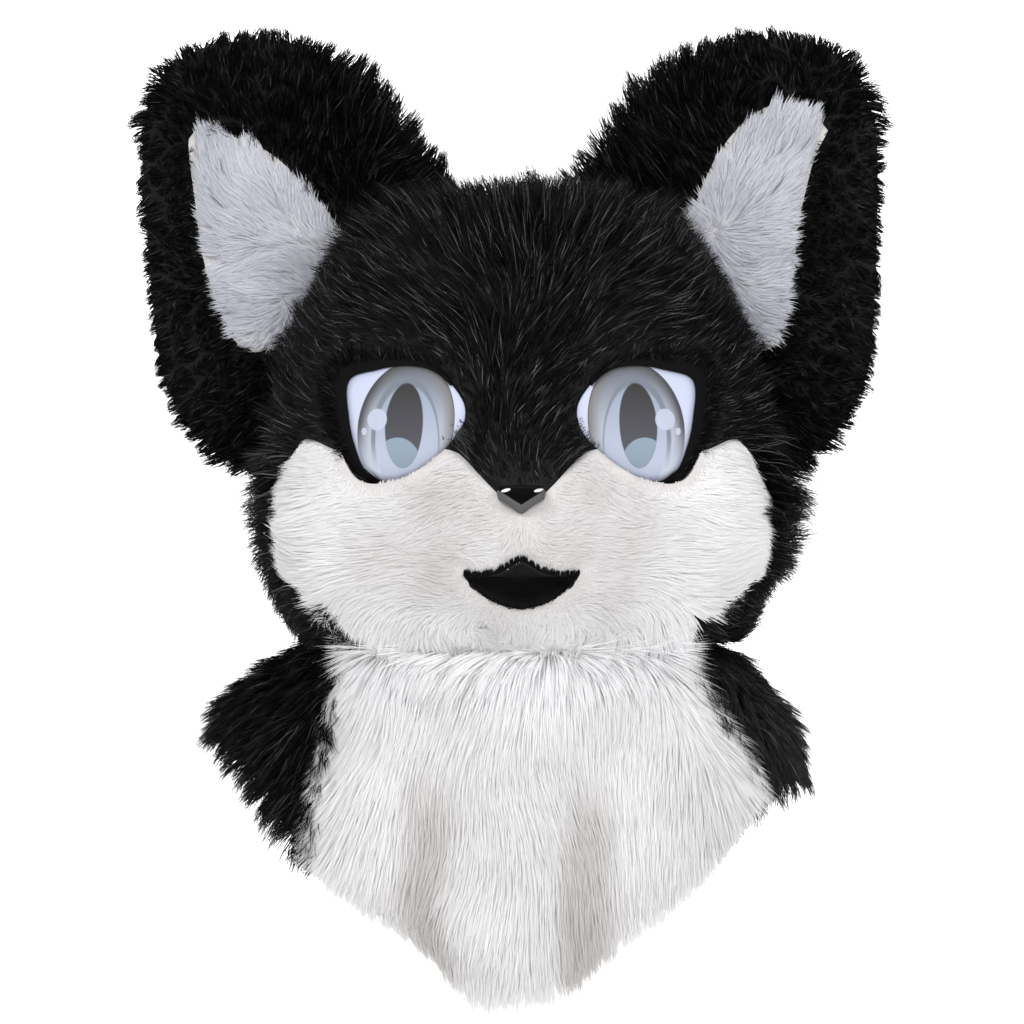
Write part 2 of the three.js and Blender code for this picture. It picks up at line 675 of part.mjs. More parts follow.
function makeMouthPocket() {
  const skin = frontAt(MOUTH.below);
  const cup = mouthPrism(0, skin - FOAM, skin + MOUTH.depth);
  const hollow = mouthPrism(-MOUTH.wall, skin - FOAM - 1, skin + MOUTH.depth - MOUTH.wall);
  return cup.subtract(hollow).intersect(headSolid(UNDER + BACKING));
}

// Ears

const EAR_RING = [
  ...EAR_COLUMNS.map((s) => ({ s, face: -1 })),
  ...EAR_COLUMNS.map((s) => ({ s: 1 - s, face: 1 })),
];

// A place on the ear in its own frame: x across it from the crown to the cheek, y back, z along the axis.
function earPlace(column, row, offset) {
  const rise = EAR_ROWS[row];
  const at = (measure) => read(EAR_SECTIONS, "rise", rise, measure);
  const { s, face } = EAR_RING[column % EAR_RING.length];
  const arch = Math.sin(Math.PI * s);
  const bulge = arch ** 0.6;
  const beyond = rise === 1 ? 0 : offset;
  const x = EAR.halfBase * mix(at("inner"), at("outer"), s) + beyond * (2 * s - 1) * (1 - arch);
  const y = EAR.cup * at("cup") * arch ** 2 + face * bulge * (EAR.thick * at("thick") + beyond);
  return new THREE.Vector3(x, y, rise * EAR.length + offset - beyond);
}

// The tilt leans the axis outwards, the turn swings the cup's mouth, and the side mirrors the ear.
function earMatrix(side, name) {
  const at = new THREE.Matrix4().makeTranslation(EAR_ACROSS[name], EAR.back, CROWN - EAR_BELOW[name]);
  const lean = new THREE.Matrix4().makeRotationY(radians(EAR_TILT[name]));
  const swing = new THREE.Matrix4().makeRotationZ(radians(-EAR_TURN[name]));
  return mirror(side).multiply(at.multiply(swing).multiply(lean));
}

function isLiningCell(name, column, row) {
  const across = column - LINING.first[name];
  return across >= 0 && across < LINING.columns && row >= LINING.firstRow && row < LINING.lastRow;
}

function earBody(side, name, offset) {
  const matrix = earMatrix(side, name);
  const count = EAR_RING.length;
  const spot = (column, row) => earPlace(column, row, offset).applyMatrix4(matrix);
  const turned = (column, row) => spot((count - column) % count, row);
  return lofted(side > 0 ? spot : turned, count, EAR_ROWS.length - 1);
}

// The ear: its smooth body with a lock on every cell outside the lining.
function makeEar(side, name) {
  const matrix = earMatrix(side, name);
  const rows = EAR_ROWS.length - 1;
  const count = EAR_RING.length;
  const spot = (column, row) => earPlace(column, row, 0).applyMatrix4(matrix);
  const tip = spot(0, 0);
  const triangles = [];
  const centre = new THREE.Vector3();
  for (let i = 0; i < count; i += 1) centre.addScaledVector(spot(i, rows), 1 / count);
  for (let i = 0; i < count; i += 1) {
    const next = (i + 1) % count;
    for (let j = 0; j < rows; j += 1) {
      const ring = [spot(i, j), spot(i, j + 1), spot(next, j + 1), spot(next, j)];
      if (side < 0) ring.reverse();
      if (isLiningCell(name, i, j)) triangles.push(...quad(...ring));
      else {
        const around = [[i + 1, j], [i - 1, j], [i, j - 1], [i, j + 1]];
        const beside = around.some(([c, r]) => isLiningCell(name, c, r));
        const comb = tip.clone().sub(ring[0]).add(new THREE.Vector3(0, 0, -EAR.length / 3));
        const lock = lockTip(ring, PILE.ear, comb, beside ? 0 : EDGE_LEAN, i, j);
        for (let k = 0; k < 4; k += 1) triangles.push([ring[k], ring[(k + 1) % 4], lock]);
      }
    }
    const cap = [centre, spot(next, rows), spot(i, rows)];
    triangles.push(side < 0 ? cap.reverse() : cap);
  }
  return solidOf(triangles);
}

function makeLining(side, name) {
  const matrix = earMatrix(side, name);
  const { columns } = LINING;
  const at = (column, row, offset) => {
    const i = LINING.first[name] + (side > 0 ? column : columns - column);
    return earPlace(i, LINING.firstRow + row, 0)
      .add(new THREE.Vector3(0, -offset, 0))
      .applyMatrix4(matrix);
  };
  return furPanel({
    columns,
    rows: LINING.lastRow - LINING.firstRow,
    closed: false,
    gap: UNDER,
    pile: PILE.lining,
    spot: at,
    comb: () => new THREE.Vector3(side, 0, 1),
  });
}

// Bib and cape

function drapePlace(turn, fall) {
  const rim = headSpot(turn, 1, -DRAPE_INSET);
  const start = Math.hypot(rim.x, rim.y);
  const angle = Math.atan2(rim.x, -rim.y);
  const hem = DRAPE_REACH * read(HEM, "turn", turn, "reach");
  const fold = FOLD_DEPTH * read(FOLDS, "turn", turn, "depth") * fall;
  const reach = mix(start, hem, Math.sin((fall * Math.PI) / 2)) + fold;
  const drop = DRAPE_DROP * read(HEM, "turn", turn, "drop") * fall;
  const swing = mix(angle, radians(turn), Math.min(fall * 2, 1));
  return new THREE.Vector3(reach * Math.sin(swing), -reach * Math.cos(swing), RIM - SEAM - UNDER - drop);
}

function drapeSpot(turn, fall, offset) {
  const inside = Math.min(Math.max(fall, 0.03), 0.97);
  const normal = outward(drapePlace, turn, inside, 0.5, 0.02).negate();
  if (fall < 1e-6) normal.z = 0; // the top edge stays level under the rim
  return drapePlace(turn, fall).addScaledVector(normal.normalize(), offset);
}

const drapeComb = (p) => new THREE.Vector3(p.x / 2, p.y / 2, -DRAPE_DROP / 2);

function drapePanel(columns, pile, from, to) {
  return furPanel({
    columns,
    rows: DRAPE_GRID.rows,
    closed: false,
    gap: 0,
    pile,
    spot: (column, row, offset) => {
      const fall = row / DRAPE_GRID.rows;
      const share = column / columns;
      const turn = mix(mix(from.top, to.top, share), mix(from.hem, to.hem, share), fall);
      return drapeSpot(wrapTurn(turn), fall, offset);
    },
    comb: drapeComb,
    furred: (column, row) => row > 0,
  });
}

const SEAM_TURN = (SEAM / DRAPE_REACH) * (180 / Math.PI) * 2;

function makeBib() {
  const left = { top: BIB_TOP_TURN.left, hem: BIB_HEM_TURN.left };
  const right = { top: BIB_TOP_TURN.right, hem: BIB_HEM_TURN.right };
  return drapePanel(DRAPE_GRID.bibColumns, PILE.bib, left, right);
}

function makeCape() {
  const left = { top: 360 + BIB_TOP_TURN.left - SEAM_TURN, hem: 360 + BIB_HEM_TURN.left - SEAM_TURN };
  const right = { top: BIB_TOP_TURN.right + SEAM_TURN, hem: BIB_HEM_TURN.right + SEAM_TURN };
  return drapePanel(DRAPE_GRID.capeColumns, PILE.cape, right, left);
}

// Assembly

// Pieces glued on the fur sit just clear of its cloth, and the pile under them is trimmed to the cloth.
const cloth = headSolid(UNDER + BACKING + SEAM);
const seat = headSolid(UNDER + BACKING + 2 * SEAM);
const SIDES = [
  { name: "left", side: -1 },
  { name: "right", side: 1 },
];

const ears = SIDES.map(({ name, side }) => makeEar(side, name).subtract(seat));
const nose = noseBody(0).subtract(seat);
const sockets = SIDES.map(({ side }) => eyeSocket(side)).reduce((a, b) => a.add(b));
const underPieces = SIDES.map(({ name, side }) => earBody(side, name, EAR_CLEARANCE))
  .reduce((a, b) => a.add(b))
  .add(noseBody(UNDER))
  .subtract(cloth);
const mouthHole = mouthPrism(SEAM, -2 * HEAD_FRONT, 0);

const base = headSolid(0)
  .subtract(headHollow())
  .subtract(eyePocket(-1))
  .subtract(eyePocket(1))
  .subtract(mouthHole);
const hood = largestBody(makeHood().subtract(sockets).subtract(underPieces));
const face = largestBody(makeFace().subtract(sockets).subtract(underPieces).subtract(mouthHole));

const head = new THREE.Group();
head.add(meshOf(base, "head_base", { color: 0x3a3a3c, roughness: 0.95, metalness: 0 }));
head.add(meshOf(hood, "hood", BLACK));
head.add(meshOf(face, "face", WHITE));
SIDES.forEach(({ name, side }, k) => {
  head.add(meshOf(ears[k], `ear_${name}`, BLACK));
  head.add(meshOf(makeLining(side, name), `ear_lining_${name}`, WHITE));
  head.add(meshOf(makeEye(side), `eye_${name}`, { color: 0xc8cfe4, roughness: 0.5, metalness: 0 }));
  head.add(meshOf(makeLid(side), `eyelid_${name}`, { color: 0x101012, roughness: 0.6, metalness: 0 }));
});
head.add(meshOf(nose, "nose", { color: 0x0a0a0b, roughness: 0.25, metalness: 0 }));
head.add(meshOf(makeMouthPocket(), "mouth_pocket", { color: 0x040404, roughness: 1, metalness: 0 }));
head.add(meshOf(makeBib(), "bib", WHITE));
head.add(meshOf(makeCape(), "cape", BLACK));

export default head;
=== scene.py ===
# %% [markdown]
# # A plush fox head, sewn from black and white pile
# The real object is a hollow foam head that is worn as a costume. Panels of long faux fur cover the
# foam and two big cupped ears, and a bib and a cape of the same fur hang from the neck. The eyes are
# printed plates under smooth cloth lids. The foam head comes from the CAD frame as it is. The fur is
# made here, because a solid can only hint at it: every panel is a sewn cloth with thousands of hairs.

import bmesh
import bpy
import numpy as np
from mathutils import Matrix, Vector


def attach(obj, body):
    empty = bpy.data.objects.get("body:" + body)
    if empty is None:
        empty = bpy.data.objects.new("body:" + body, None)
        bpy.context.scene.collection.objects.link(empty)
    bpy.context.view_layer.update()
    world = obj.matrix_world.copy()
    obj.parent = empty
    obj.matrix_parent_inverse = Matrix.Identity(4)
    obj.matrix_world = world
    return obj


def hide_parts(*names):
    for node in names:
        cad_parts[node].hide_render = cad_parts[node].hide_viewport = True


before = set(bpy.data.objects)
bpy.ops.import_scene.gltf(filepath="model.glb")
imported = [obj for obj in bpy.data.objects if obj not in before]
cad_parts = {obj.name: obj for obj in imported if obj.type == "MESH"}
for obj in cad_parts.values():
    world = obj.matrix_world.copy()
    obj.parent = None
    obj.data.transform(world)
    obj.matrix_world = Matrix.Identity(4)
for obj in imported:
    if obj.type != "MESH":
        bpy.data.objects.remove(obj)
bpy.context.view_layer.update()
MM = 0.001

# %% [markdown]
# ## Camera
# The head is seen from straight in front, from about three metres away, level with the middle of the
# whole piece. A long lens from far away keeps the ears and the muzzle in their true proportions.

# %% Camera
# where the camera stands in millimetres, its focal length and the width of its film
CAMERA_PLACE, LENS, FILM = (-5.22, -3060, -162.98), 181.84, 36
camera = bpy.data.objects.new("camera", bpy.data.cameras.new("camera"))
camera.location = [value * MM for value in CAMERA_PLACE]
camera.rotation_euler = (np.radians(90), 0, 0)
camera.data.lens, camera.data.sensor_width = LENS, FILM
bpy.context.scene.collection.objects.link(camera)
bpy.context.scene.camera = camera
print("lens", round(camera.data.lens, 1), "mm")

# %% [markdown]
# ## Pattern tables
# A pattern maker notes a form as a table: at this height the head is so wide and so deep. A smooth
# curve through the rows gives every place between them. The same tables are behind the CAD frame, so
# the cloth made here lies exactly where the frame's panels lie.

# %% Reading a table
def smooth(table, at, column):
    """One column of a table at places along its first column, on a curve through its rows."""
    rows = np.array(table, float)
    places, values = rows[:, 0], rows[:, column]
    row = np.arange(len(rows))
    before, after = np.maximum(row - 1, 0), np.minimum(row + 1, len(rows) - 1)
    slopes = (values[after] - values[before]) / (places[after] - places[before])
    k = np.clip(np.searchsorted(places, at) - 1, 0, len(rows) - 2)
    span = places[k + 1] - places[k]
    s = np.clip((at - places[k]) / span, 0, 1)
    bend = s * s * (3 - 2 * s)
    start = slopes[k] * span * s * (1 - s) ** 2
    end = slopes[k + 1] * span * s * s * (s - 1)
    return values[k] + (values[k + 1] - values[k]) * bend + start + end


def mix(start, end, share):
    return start + (end - start) * share


def step(value, low, high):
    """0 below low, 1 above high, and a soft ramp between them."""
    s = np.clip((value - low) / (high - low), 0, 1)
    return s * s * (3 - 2 * s)


def unit(vectors):
    return vectors / np.maximum(np.linalg.norm(vectors, axis=-1, keepdims=True), 1e-9)


def waver(points, size, seed):
    """A smooth random number, about -1 to 1, that changes over so many millimetres."""
    dice = np.random.default_rng(seed)
    ways = unit(dice.normal(size=(6, 3))) * 2 * np.pi / size * dice.uniform(0.6, 1.5, (6, 1))
    return np.sin(points @ ways.T + dice.uniform(0, 2 * np.pi, 6)).sum(-1) / 2.5


def sway(points, size, seed):
    """A smooth random direction, for pile that nobody has brushed."""
    return np.stack([waver(points, size, seed + k) for k in range(3)], -1)


def read_between():
    """A check of the curve: a table of squares, read between its last two rows."""
    return float(smooth([(0, 0), (1, 1), (2, 4)], 1.5, 1))


print("a table of squares, read at 1.5, gives", round(read_between(), 2))

# %% [markdown]
# ## The head's form
# The foam is a rounded block: at every height its outline is a fat ellipse, widest at the cheeks and
# drawn in at the crown and the neck. The muzzle and the cheeks are smooth swellings that are added to it.
# A place on the foam is then given by two numbers, the degrees from the front and the share of the way
# down, and every panel of cloth is a grid of such places.

# %% The head's form, in millimetres
CROWN, HEIGHT, HALF_WIDTH, FRONT, BACK, SQUARENESS = 12, 251, 140, 110, 128, 2.2
RIM = CROWN - HEIGHT
MUZZLE = {"reach": 37, "width": 52, "rise": 47, "below": 194}
CHEEK = {"swell": 13, "turn": 58, "width": 24, "rise": 46, "below": 186}
# way down from the crown, drop, half width, front, back
HEAD_SECTIONS = [
    (0, 0, 0, 0, 0),
    (0.08, 0.008, 0.28, 0.27, 0.29),
    (0.2, 0.062, 0.62, 0.58, 0.63),
    (0.33, 0.185, 0.84, 0.8, 0.86),
    (0.46, 0.35, 0.95, 0.93, 0.97),
    (0.6, 0.54, 0.99, 1, 1),
    (0.74, 0.73, 1, 1, 0.98),
    (0.87, 0.89, 0.97, 0.96, 0.96),
    (0.95, 0.965, 0.91, 0.89, 0.93),
    (1, 1, 0.84, 0.82, 0.91),
]


def signed_power(value, power):
    return np.sign(value) * np.abs(value) ** power


def head_place(turn, arc):
    """A place on the foam, by degrees from the front and by the share of the way down."""
    angle = np.radians(turn)
    aside = signed_power(np.sin(angle), 2 / SQUARENESS)
    ahead = signed_power(np.cos(angle), 2 / SQUARENESS)
    z = CROWN - HEIGHT * smooth(HEAD_SECTIONS, arc, 1)
    x = HALF_WIDTH * smooth(HEAD_SECTIONS, arc, 2) * aside
    front = FRONT * smooth(HEAD_SECTIONS, arc, 3)
    back = BACK * smooth(HEAD_SECTIONS, arc, 4)
    y = -np.where(ahead > 0, front, back) * ahead
    up_muzzle = np.abs((z - CROWN + MUZZLE["below"]) / MUZZLE["rise"])
    muzzle = np.exp(-((x / MUZZLE["width"]) ** 2) - up_muzzle**3)
    y = y - np.where(ahead > 0, MUZZLE["reach"] * muzzle, 0)
    round_turn = (np.abs(turn) - CHEEK["turn"]) / CHEEK["width"]
    cheek = CHEEK["swell"] * np.exp(-(round_turn**2) - ((z - CROWN + CHEEK["below"]) / CHEEK["rise"]) ** 2)
    return np.stack([x + cheek * np.sin(angle), y - cheek * np.cos(angle), z], -1)


def outward(place, u, v, du, dv):
    """The direction straight out of a surface that is given by two numbers."""
    across = place(u + du, v) - place(u - du, v)
    down = place(u, v + dv) - place(u, v - dv)
    return unit(np.cross(down, across))


def head_normal(turn, arc):
    normal = outward(head_place, turn, np.clip(arc, 0.01, 0.998), 0.2, 0.002)
    normal[arc < 1e-6] = (0, 0, 1)
    normal[..., 2] = np.where(arc > 1 - 1e-6, 0, normal[..., 2])
    return unit(normal)


print("muzzle reaches y =", round(float(head_place(np.array(0.0), np.array(0.74))[1]), 1), "mm")

# %% [markdown]
# ## The seam between black and white
# The white face is one panel that ends in a seam: over the nose it rises in a V, runs under the eyes
# and ends beside the cheeks. The hood is everything else. Both are grids of the same columns, so that
# they meet along the seam without a gap.

# %% Panels of the head
FACE_TURN = 67
FACE_SEAM = [
    (0, 0.69), (4, 0.66), (8.5, 0.61), (13, 0.565), (20, 0.555),
    (34, 0.575), (46, 0.555), (57, 0.53), (62, 0.545), (67, 0.62),
]  # fmt: skip
FACE_COLUMNS, BACK_COLUMNS, CROWN_ROWS, CHEEK_ROWS = 64, 44, 28, 20
BACKING, UNDER, SEAM = 2, 0.5, 0.3


def seam_arc(turn):
    """How far down from the crown the seam lies at a turn."""
    arcs = np.linspace(0, 1, 2001)
    drops = smooth(HEAD_SECTIONS, arcs, 1)
    return np.interp(smooth(FACE_SEAM, np.minimum(np.abs(turn), FACE_TURN), 1), drops, arcs)


def hood_grid():
    front = np.linspace(-FACE_TURN, FACE_TURN, FACE_COLUMNS + 1)[:-1]
    back = np.linspace(FACE_TURN, 360 - FACE_TURN, BACK_COLUMNS + 1)[:-1]
    turn = np.concatenate([front, back])
    turn = np.where(turn > 180, turn - 360, turn)
    seam = seam_arc(turn)
    over = np.linspace(0, 1, CROWN_ROWS + 1)[:, None] * seam
    under = mix(seam, 1, np.linspace(0, 1, CHEEK_ROWS + 1)[1:, None])
    arc = np.concatenate([over, under])
    return np.broadcast_to(turn, arc.shape), arc


def face_grid(finer=1):
    turn = np.linspace(-FACE_TURN, FACE_TURN, FACE_COLUMNS * finer + 1) * 0.998
    arc = mix(seam_arc(turn) + SEAM / HEIGHT, 1, np.linspace(0, 1, CHEEK_ROWS * finer + 1)[:, None])
    return np.broadcast_to(turn, arc.shape), arc


def grid_faces(rows, columns, closed=False, covers=lambda i, j: True):
    """Four-sided faces between the points of a grid, all facing outwards."""
    faces = []
    for j in range(rows - 1):
        for i in range(columns if closed else columns - 1):
            n = (i + 1) % columns
            if covers(i, j):
                faces.append((j * columns + i, (j + 1) * columns + i, (j + 1) * columns + n, j * columns + n))
    return faces


print("hood grid", hood_grid()[0].shape, "face grid", face_grid()[0].shape)

# %% [markdown]
# ## Cloth
# A panel's backing is a knit about two millimetres thick. It is made as a closed shell: the outer side,
# the same points a little further in, and a strip round every open edge. A shell like that can be cut
# cleanly with a Boolean, which is how the eye sockets and the mouth are cut.

# %% Making meshes
def add_object(name, mesh):
    made = bpy.data.objects.new(name, mesh)
    bpy.context.scene.collection.objects.link(made)
    return made


def mesh_object(name, points, faces, weld=False):
    """An object from points in millimetres and lists of their numbers."""
    mesh = bpy.data.meshes.new(name)
    mesh.from_pydata((np.asarray(points, float).reshape(-1, 3) * MM).tolist(), [], faces)
    if weld:
        work = bmesh.new()
        work.from_mesh(mesh)
        bmesh.ops.remove_doubles(work, verts=work.verts, dist=1e-6)
        bmesh.ops.dissolve_degenerate(work, edges=work.edges, dist=1e-7)
        work.to_mesh(mesh)
        work.free()
    return add_object(name, mesh)


def shell(name, outer, inner, faces):
    """A closed sheet between two layers of points, with a strip round its open edges."""
    outer, inner = outer.reshape(-1, 3), inner.reshape(-1, 3)
    count = len(outer)
    under = [tuple(k + count for k in reversed(face)) for face in faces]
    edges = {(face[k], face[(k + 1) % 4]) for face in faces for k in range(4)}
    rim = [(b, a, a + count, b + count) for a, b in edges if (b, a) not in edges]
    return mesh_object(name, np.concatenate([outer, inner]), faces + under + sorted(rim), weld=True)


def outwards(piece):
    """Turns every face of a closed mesh outwards."""
    work = bmesh.new()
    work.from_mesh(piece.data)
    bmesh.ops.recalc_face_normals(work, faces=work.faces)
    work.to_mesh(piece.data)
    work.free()
    return piece


def smooth_faces(piece):
    piece.data.polygons.foreach_set("use_smooth", [True] * len(piece.data.polygons))
    return piece


def freeze(piece):
    """Puts what the modifiers make into the mesh itself, and removes them."""
    made = bpy.data.meshes.new_from_object(piece.evaluated_get(bpy.context.evaluated_depsgraph_get()))
    piece.modifiers.clear()
    old, piece.data = piece.data, made
    bpy.data.meshes.remove(old)
    made.name = piece.name
    return piece


def carve(piece, cutter, operation="DIFFERENCE"):
    """Cuts one solid with another and keeps the result as a plain mesh."""
    cut = piece.modifiers.new("cut", "BOOLEAN")
    cut.object, cut.operation, cut.solver = cutter, operation, "EXACT"
    freeze(piece)
    return piece


def discard(*objects):
    for item in objects:
        bpy.data.objects.remove(item)


print("a backing is", BACKING, "mm thick and lies", UNDER, "mm over the foam")

# %% [markdown]
# ## Outlines
# The eye is a printed plate with a tall, slightly slanted outline. A smooth closed curve through a few
# points gives it. The same curve, pushed outwards, cuts the socket, and the distance from it tells how
# short the pile has to be clipped beside it.

# %% Outlines
EYE_HALF_WIDTH, EYE_HALF_HEIGHT = 37.5, 33.5
EYE_POINTS = np.array([
    (1.0, 0.76), (0.52, 0.93), (0.05, 1.0), (-0.38, 0.92), (-0.72, 0.64), (-0.93, 0.27), (-0.9, -0.08),
    (-0.62, -0.5), (-0.3, -0.78), (0.05, -0.96), (0.36, -1.0), (0.66, -0.84), (0.85, -0.42), (0.97, 0.1),
]) * (EYE_HALF_WIDTH, EYE_HALF_HEIGHT)  # fmt: skip
OUTLINE_STEPS = 8


def closed_curve(points, steps):
    """A smooth closed curve through points, with so many steps from each point to the next."""
    a, b, c, d = (np.roll(points, shift, axis=0) for shift in (1, 0, -1, -2))
    gaps = [np.linalg.norm(q - p, axis=1, keepdims=True) ** 0.5 for p, q in ((a, b), (b, c), (c, d))]
    start = gaps[1] * ((b - a) / gaps[0] - (c - a) / (gaps[0] + gaps[1]) + (c - b) / gaps[1])
    end = gaps[1] * ((c - b) / gaps[1] - (d - b) / (gaps[1] + gaps[2]) + (d - c) / gaps[2])
    t = np.arange(steps)[:, None, None] / steps
    curve = b + start * t + (3 * (c - b) - 2 * start - end) * t**2 + (2 * (b - c) + start + end) * t**3
    return curve.transpose(1, 0, 2).reshape(-1, 2)


def grow(outline, distance):
    """An anticlockwise outline moved straight outwards."""
    along = unit(np.roll(outline, -1, axis=0) - np.roll(outline, 1, axis=0))
    return outline + np.stack([along[:, 1], -along[:, 0]], -1) * np.reshape(distance, (-1, 1))


def beyond(outline, points):
    """How far points lie outside a closed outline; a negative distance is inside."""
    a, b = outline, np.roll(outline, -1, axis=0)
    edge = b - a
    p = points.reshape(-1, 1, 2)
    along = np.clip(((p - a) * edge).sum(-1) / (edge**2).sum(-1), 0, 1)
    gap = np.linalg.norm(p - a - along[..., None] * edge, axis=-1).min(1)
    crossed = (a[:, 1] > p[..., 1]) != (b[:, 1] > p[..., 1])
    rise = np.where(edge[:, 1] == 0, 1e-9, edge[:, 1])
    left = p[..., 0] < a[:, 0] + (p[..., 1] - a[:, 1]) / rise * edge[:, 0]
    inside = (crossed & left).sum(1) % 2 == 1
    return np.where(inside, -gap, gap).reshape(points.shape[:-1])


print(len(EYE_POINTS), "points give the outline of an eye")

# %% [markdown]
# ## The eye's place
# The plate faces 21 degrees outwards, leans back a little and is domed like a watch glass. So whatever
# belongs to it is drawn flat first and put in place by one function. The lid's edges are the eye's
# outline, moved inwards for the one that lies on the plate and outwards for the one on the fur.

# %% The eye's place
EYE = closed_curve(EYE_POINTS, OUTLINE_STEPS)
EYE_ACROSS, EYE_FORWARD, EYE_BELOW = 66.5, 101, 124
EYE_TURN, EYE_TIP, EYE_DOME = np.radians(21), np.radians(-3), 3.5


def eye_axes():
    turn = np.array([
        [np.cos(EYE_TURN), -np.sin(EYE_TURN), 0], [np.sin(EYE_TURN), np.cos(EYE_TURN), 0], [0, 0, 1],
    ])  # fmt: skip
    tip = np.array([
        [1, 0, 0], [0, np.cos(EYE_TIP), -np.sin(EYE_TIP)], [0, np.sin(EYE_TIP), np.cos(EYE_TIP)],
    ])  # fmt: skip
    return turn @ tip


def onto_eye(side, points):
    """Takes points drawn for the eye on +X to their place on the head; side -1 mirrors them."""
    placed = points @ eye_axes().T + (EYE_ACROSS, -EYE_FORWARD, CROWN - EYE_BELOW)
    return placed * (side, 1, 1)


def into_eye(side, points):
    """The way back: places on the head as seen in the eye's own frame."""
    return (points * (side, 1, 1) - (EYE_ACROSS, -EYE_FORWARD, CROWN - EYE_BELOW)) @ eye_axes()


def dome(flat):
    """How far the plate curves back at a place of its outline plane."""
    return EYE_DOME * ((flat[..., 0] / EYE_HALF_WIDTH) ** 2 + (flat[..., 1] / EYE_HALF_HEIGHT) ** 2)


LID_BEYOND = [
    (-4, 1.2), (-3, 5), (-2, 8), (-1, 12), (0, 15), (1, 8), (2, 5), (3, 3), (4, 1.2),
]  # fmt: skip


def lid_edges(extra=0.0, lap=1.5):
    """The lid's edge on the plate and its edge on the fur, from over the nose to the cheek."""
    count = len(EYE)
    place = np.arange(count) / OUTLINE_STEPS
    place = np.where(place > len(EYE_POINTS) / 2, place - len(EYE_POINTS), place)
    wide = grow(EYE, smooth(LID_BEYOND, place, 1) + extra)
    lapped = grow(EYE, np.full(count, -lap - extra))
    order = np.arange(4 * OUTLINE_STEPS, -4 * OUTLINE_STEPS - 1, -1) % count
    return lapped[order], wide[order]


print("the plate's middle lies at", [round(float(x), 1) for x in onto_eye(1, np.zeros(3))], "mm")

# %% [markdown]
# ## Mouth and nose outlines
# The mouth is a smile with a small bow in its upper lip, and the nose is a V with round shoulders. Both
# are chains of short curves, each with a handle between its two corners, as in a drawing program.

# %% Outlines of mouth and nose
def arc_points(corners, steps=6):
    """Points along a chain of quadratic curves: corner, handle, corner, handle, and so on."""
    chain = []
    for k in range(0, len(corners) - 2, 2):
        a, b, c = (np.array(corners[k + m], float) for m in range(3))
        t = np.arange(steps)[:, None] / steps
        chain.append(a * (1 - t) ** 2 + 2 * b * t * (1 - t) + c * t**2)
    return np.concatenate(chain)


MOUTH_HALF, MOUTH_HIGH, MOUTH_BELOW = 32.5, 27, 215
NOSE_HALF, NOSE_HIGH, NOSE_BELOW = 14, 17, 167.5


def mouth_outline():
    h, t = MOUTH_HALF, MOUTH_HIGH
    corners = [
        (-h, 0.16 * t), (-0.62 * h, -0.5 * t), (0, -0.55 * t), (0.62 * h, -0.5 * t), (h, 0.16 * t),
        (0.5 * h, 0.06 * t), (0.22 * h, 0.32 * t), (0.08 * h, 0.45 * t), (0, 0.45 * t),
        (-0.08 * h, 0.45 * t), (-0.22 * h, 0.32 * t), (-0.5 * h, 0.06 * t), (-h, 0.16 * t),
    ]  # fmt: skip
    return arc_points(corners) + (0, CROWN - MOUTH_BELOW)


def nose_outline():
    half, top, tip = NOSE_HALF, NOSE_HIGH * 0.42, -NOSE_HIGH * 0.5
    right = [
        (0, tip), (half * 0.12, tip), (half * 0.3, tip * 0.72), (half * 0.62, tip * 0.3),
        (half * 0.92, tip * 0.05), (half * 1.08, top * 0.7), (half * 0.8, top), (0, top * 1.15),
    ]  # fmt: skip
    left = [(-x, z) for x, z in reversed(right[1:7])] + [(0, tip)]
    return arc_points(right + left) + (0, CROWN - NOSE_BELOW)


MOUTH, NOSE = mouth_outline(), nose_outline()
print("points round an eye:", len(EYE), "round the mouth:", len(MOUTH), "round the nose:", len(NOSE))

# %% [markdown]
# ## How far from the openings?
# Pile is clipped short beside an eye and left out where a plate, the nose or the mouth is. So each
# point of a panel is told how far it is from the nearest of these outlines.

# %% Distances
# Outlines are noted in a front view that is 1024 steps wide. At 3 m from the camera a step is 0.58 mm.
VIEW_MIDDLE, NOTED_AT, STEP = 512, 3000, 0.58
# added to a distance that doesn't count, because the place lies on another side of the head
ELSEWHERE = 200


def clearance(points):
    """Millimetres from the nearest opening of the face; negative inside one."""
    gaps = []
    inner, outer = lid_edges()
    lid = np.concatenate([inner, outer[::-1]])
    for side in (-1, 1):
        local = into_eye(side, points)
        near = np.where(local[..., 1] < 60, 0, ELSEWHERE)
        flat = local[..., [0, 2]]
        gaps += [beyond(EYE, flat) + near, beyond(lid, flat) + near]
    flat, behind = points[..., [0, 2]], np.where(points[..., 1] < 0, 0, ELSEWHERE)
    gaps += [beyond(MOUTH, flat) + behind, beyond(NOSE, flat) + behind]
    return np.min(gaps, axis=0)


def away_from_openings(points):
    """The way, across the front, that leads straight away from the nearest opening."""
    right = clearance(points + (1, 0, 0)) - clearance(points - (1, 0, 0))
    up = clearance(points + (0, 0, 1)) - clearance(points - (0, 0, 1))
    return unit(np.stack([right, 0 * up, up], -1))


def seen(points):
    """Where a place shows in the front view, in steps across and down."""
    scale = NOTED_AT / (points[..., 1] - CAMERA_PLACE[1]) / STEP
    across = VIEW_MIDDLE + (points[..., 0] - CAMERA_PLACE[0]) * scale
    down = VIEW_MIDDLE - (points[..., 2] - CAMERA_PLACE[2]) * scale
    return np.stack([across, down], -1)


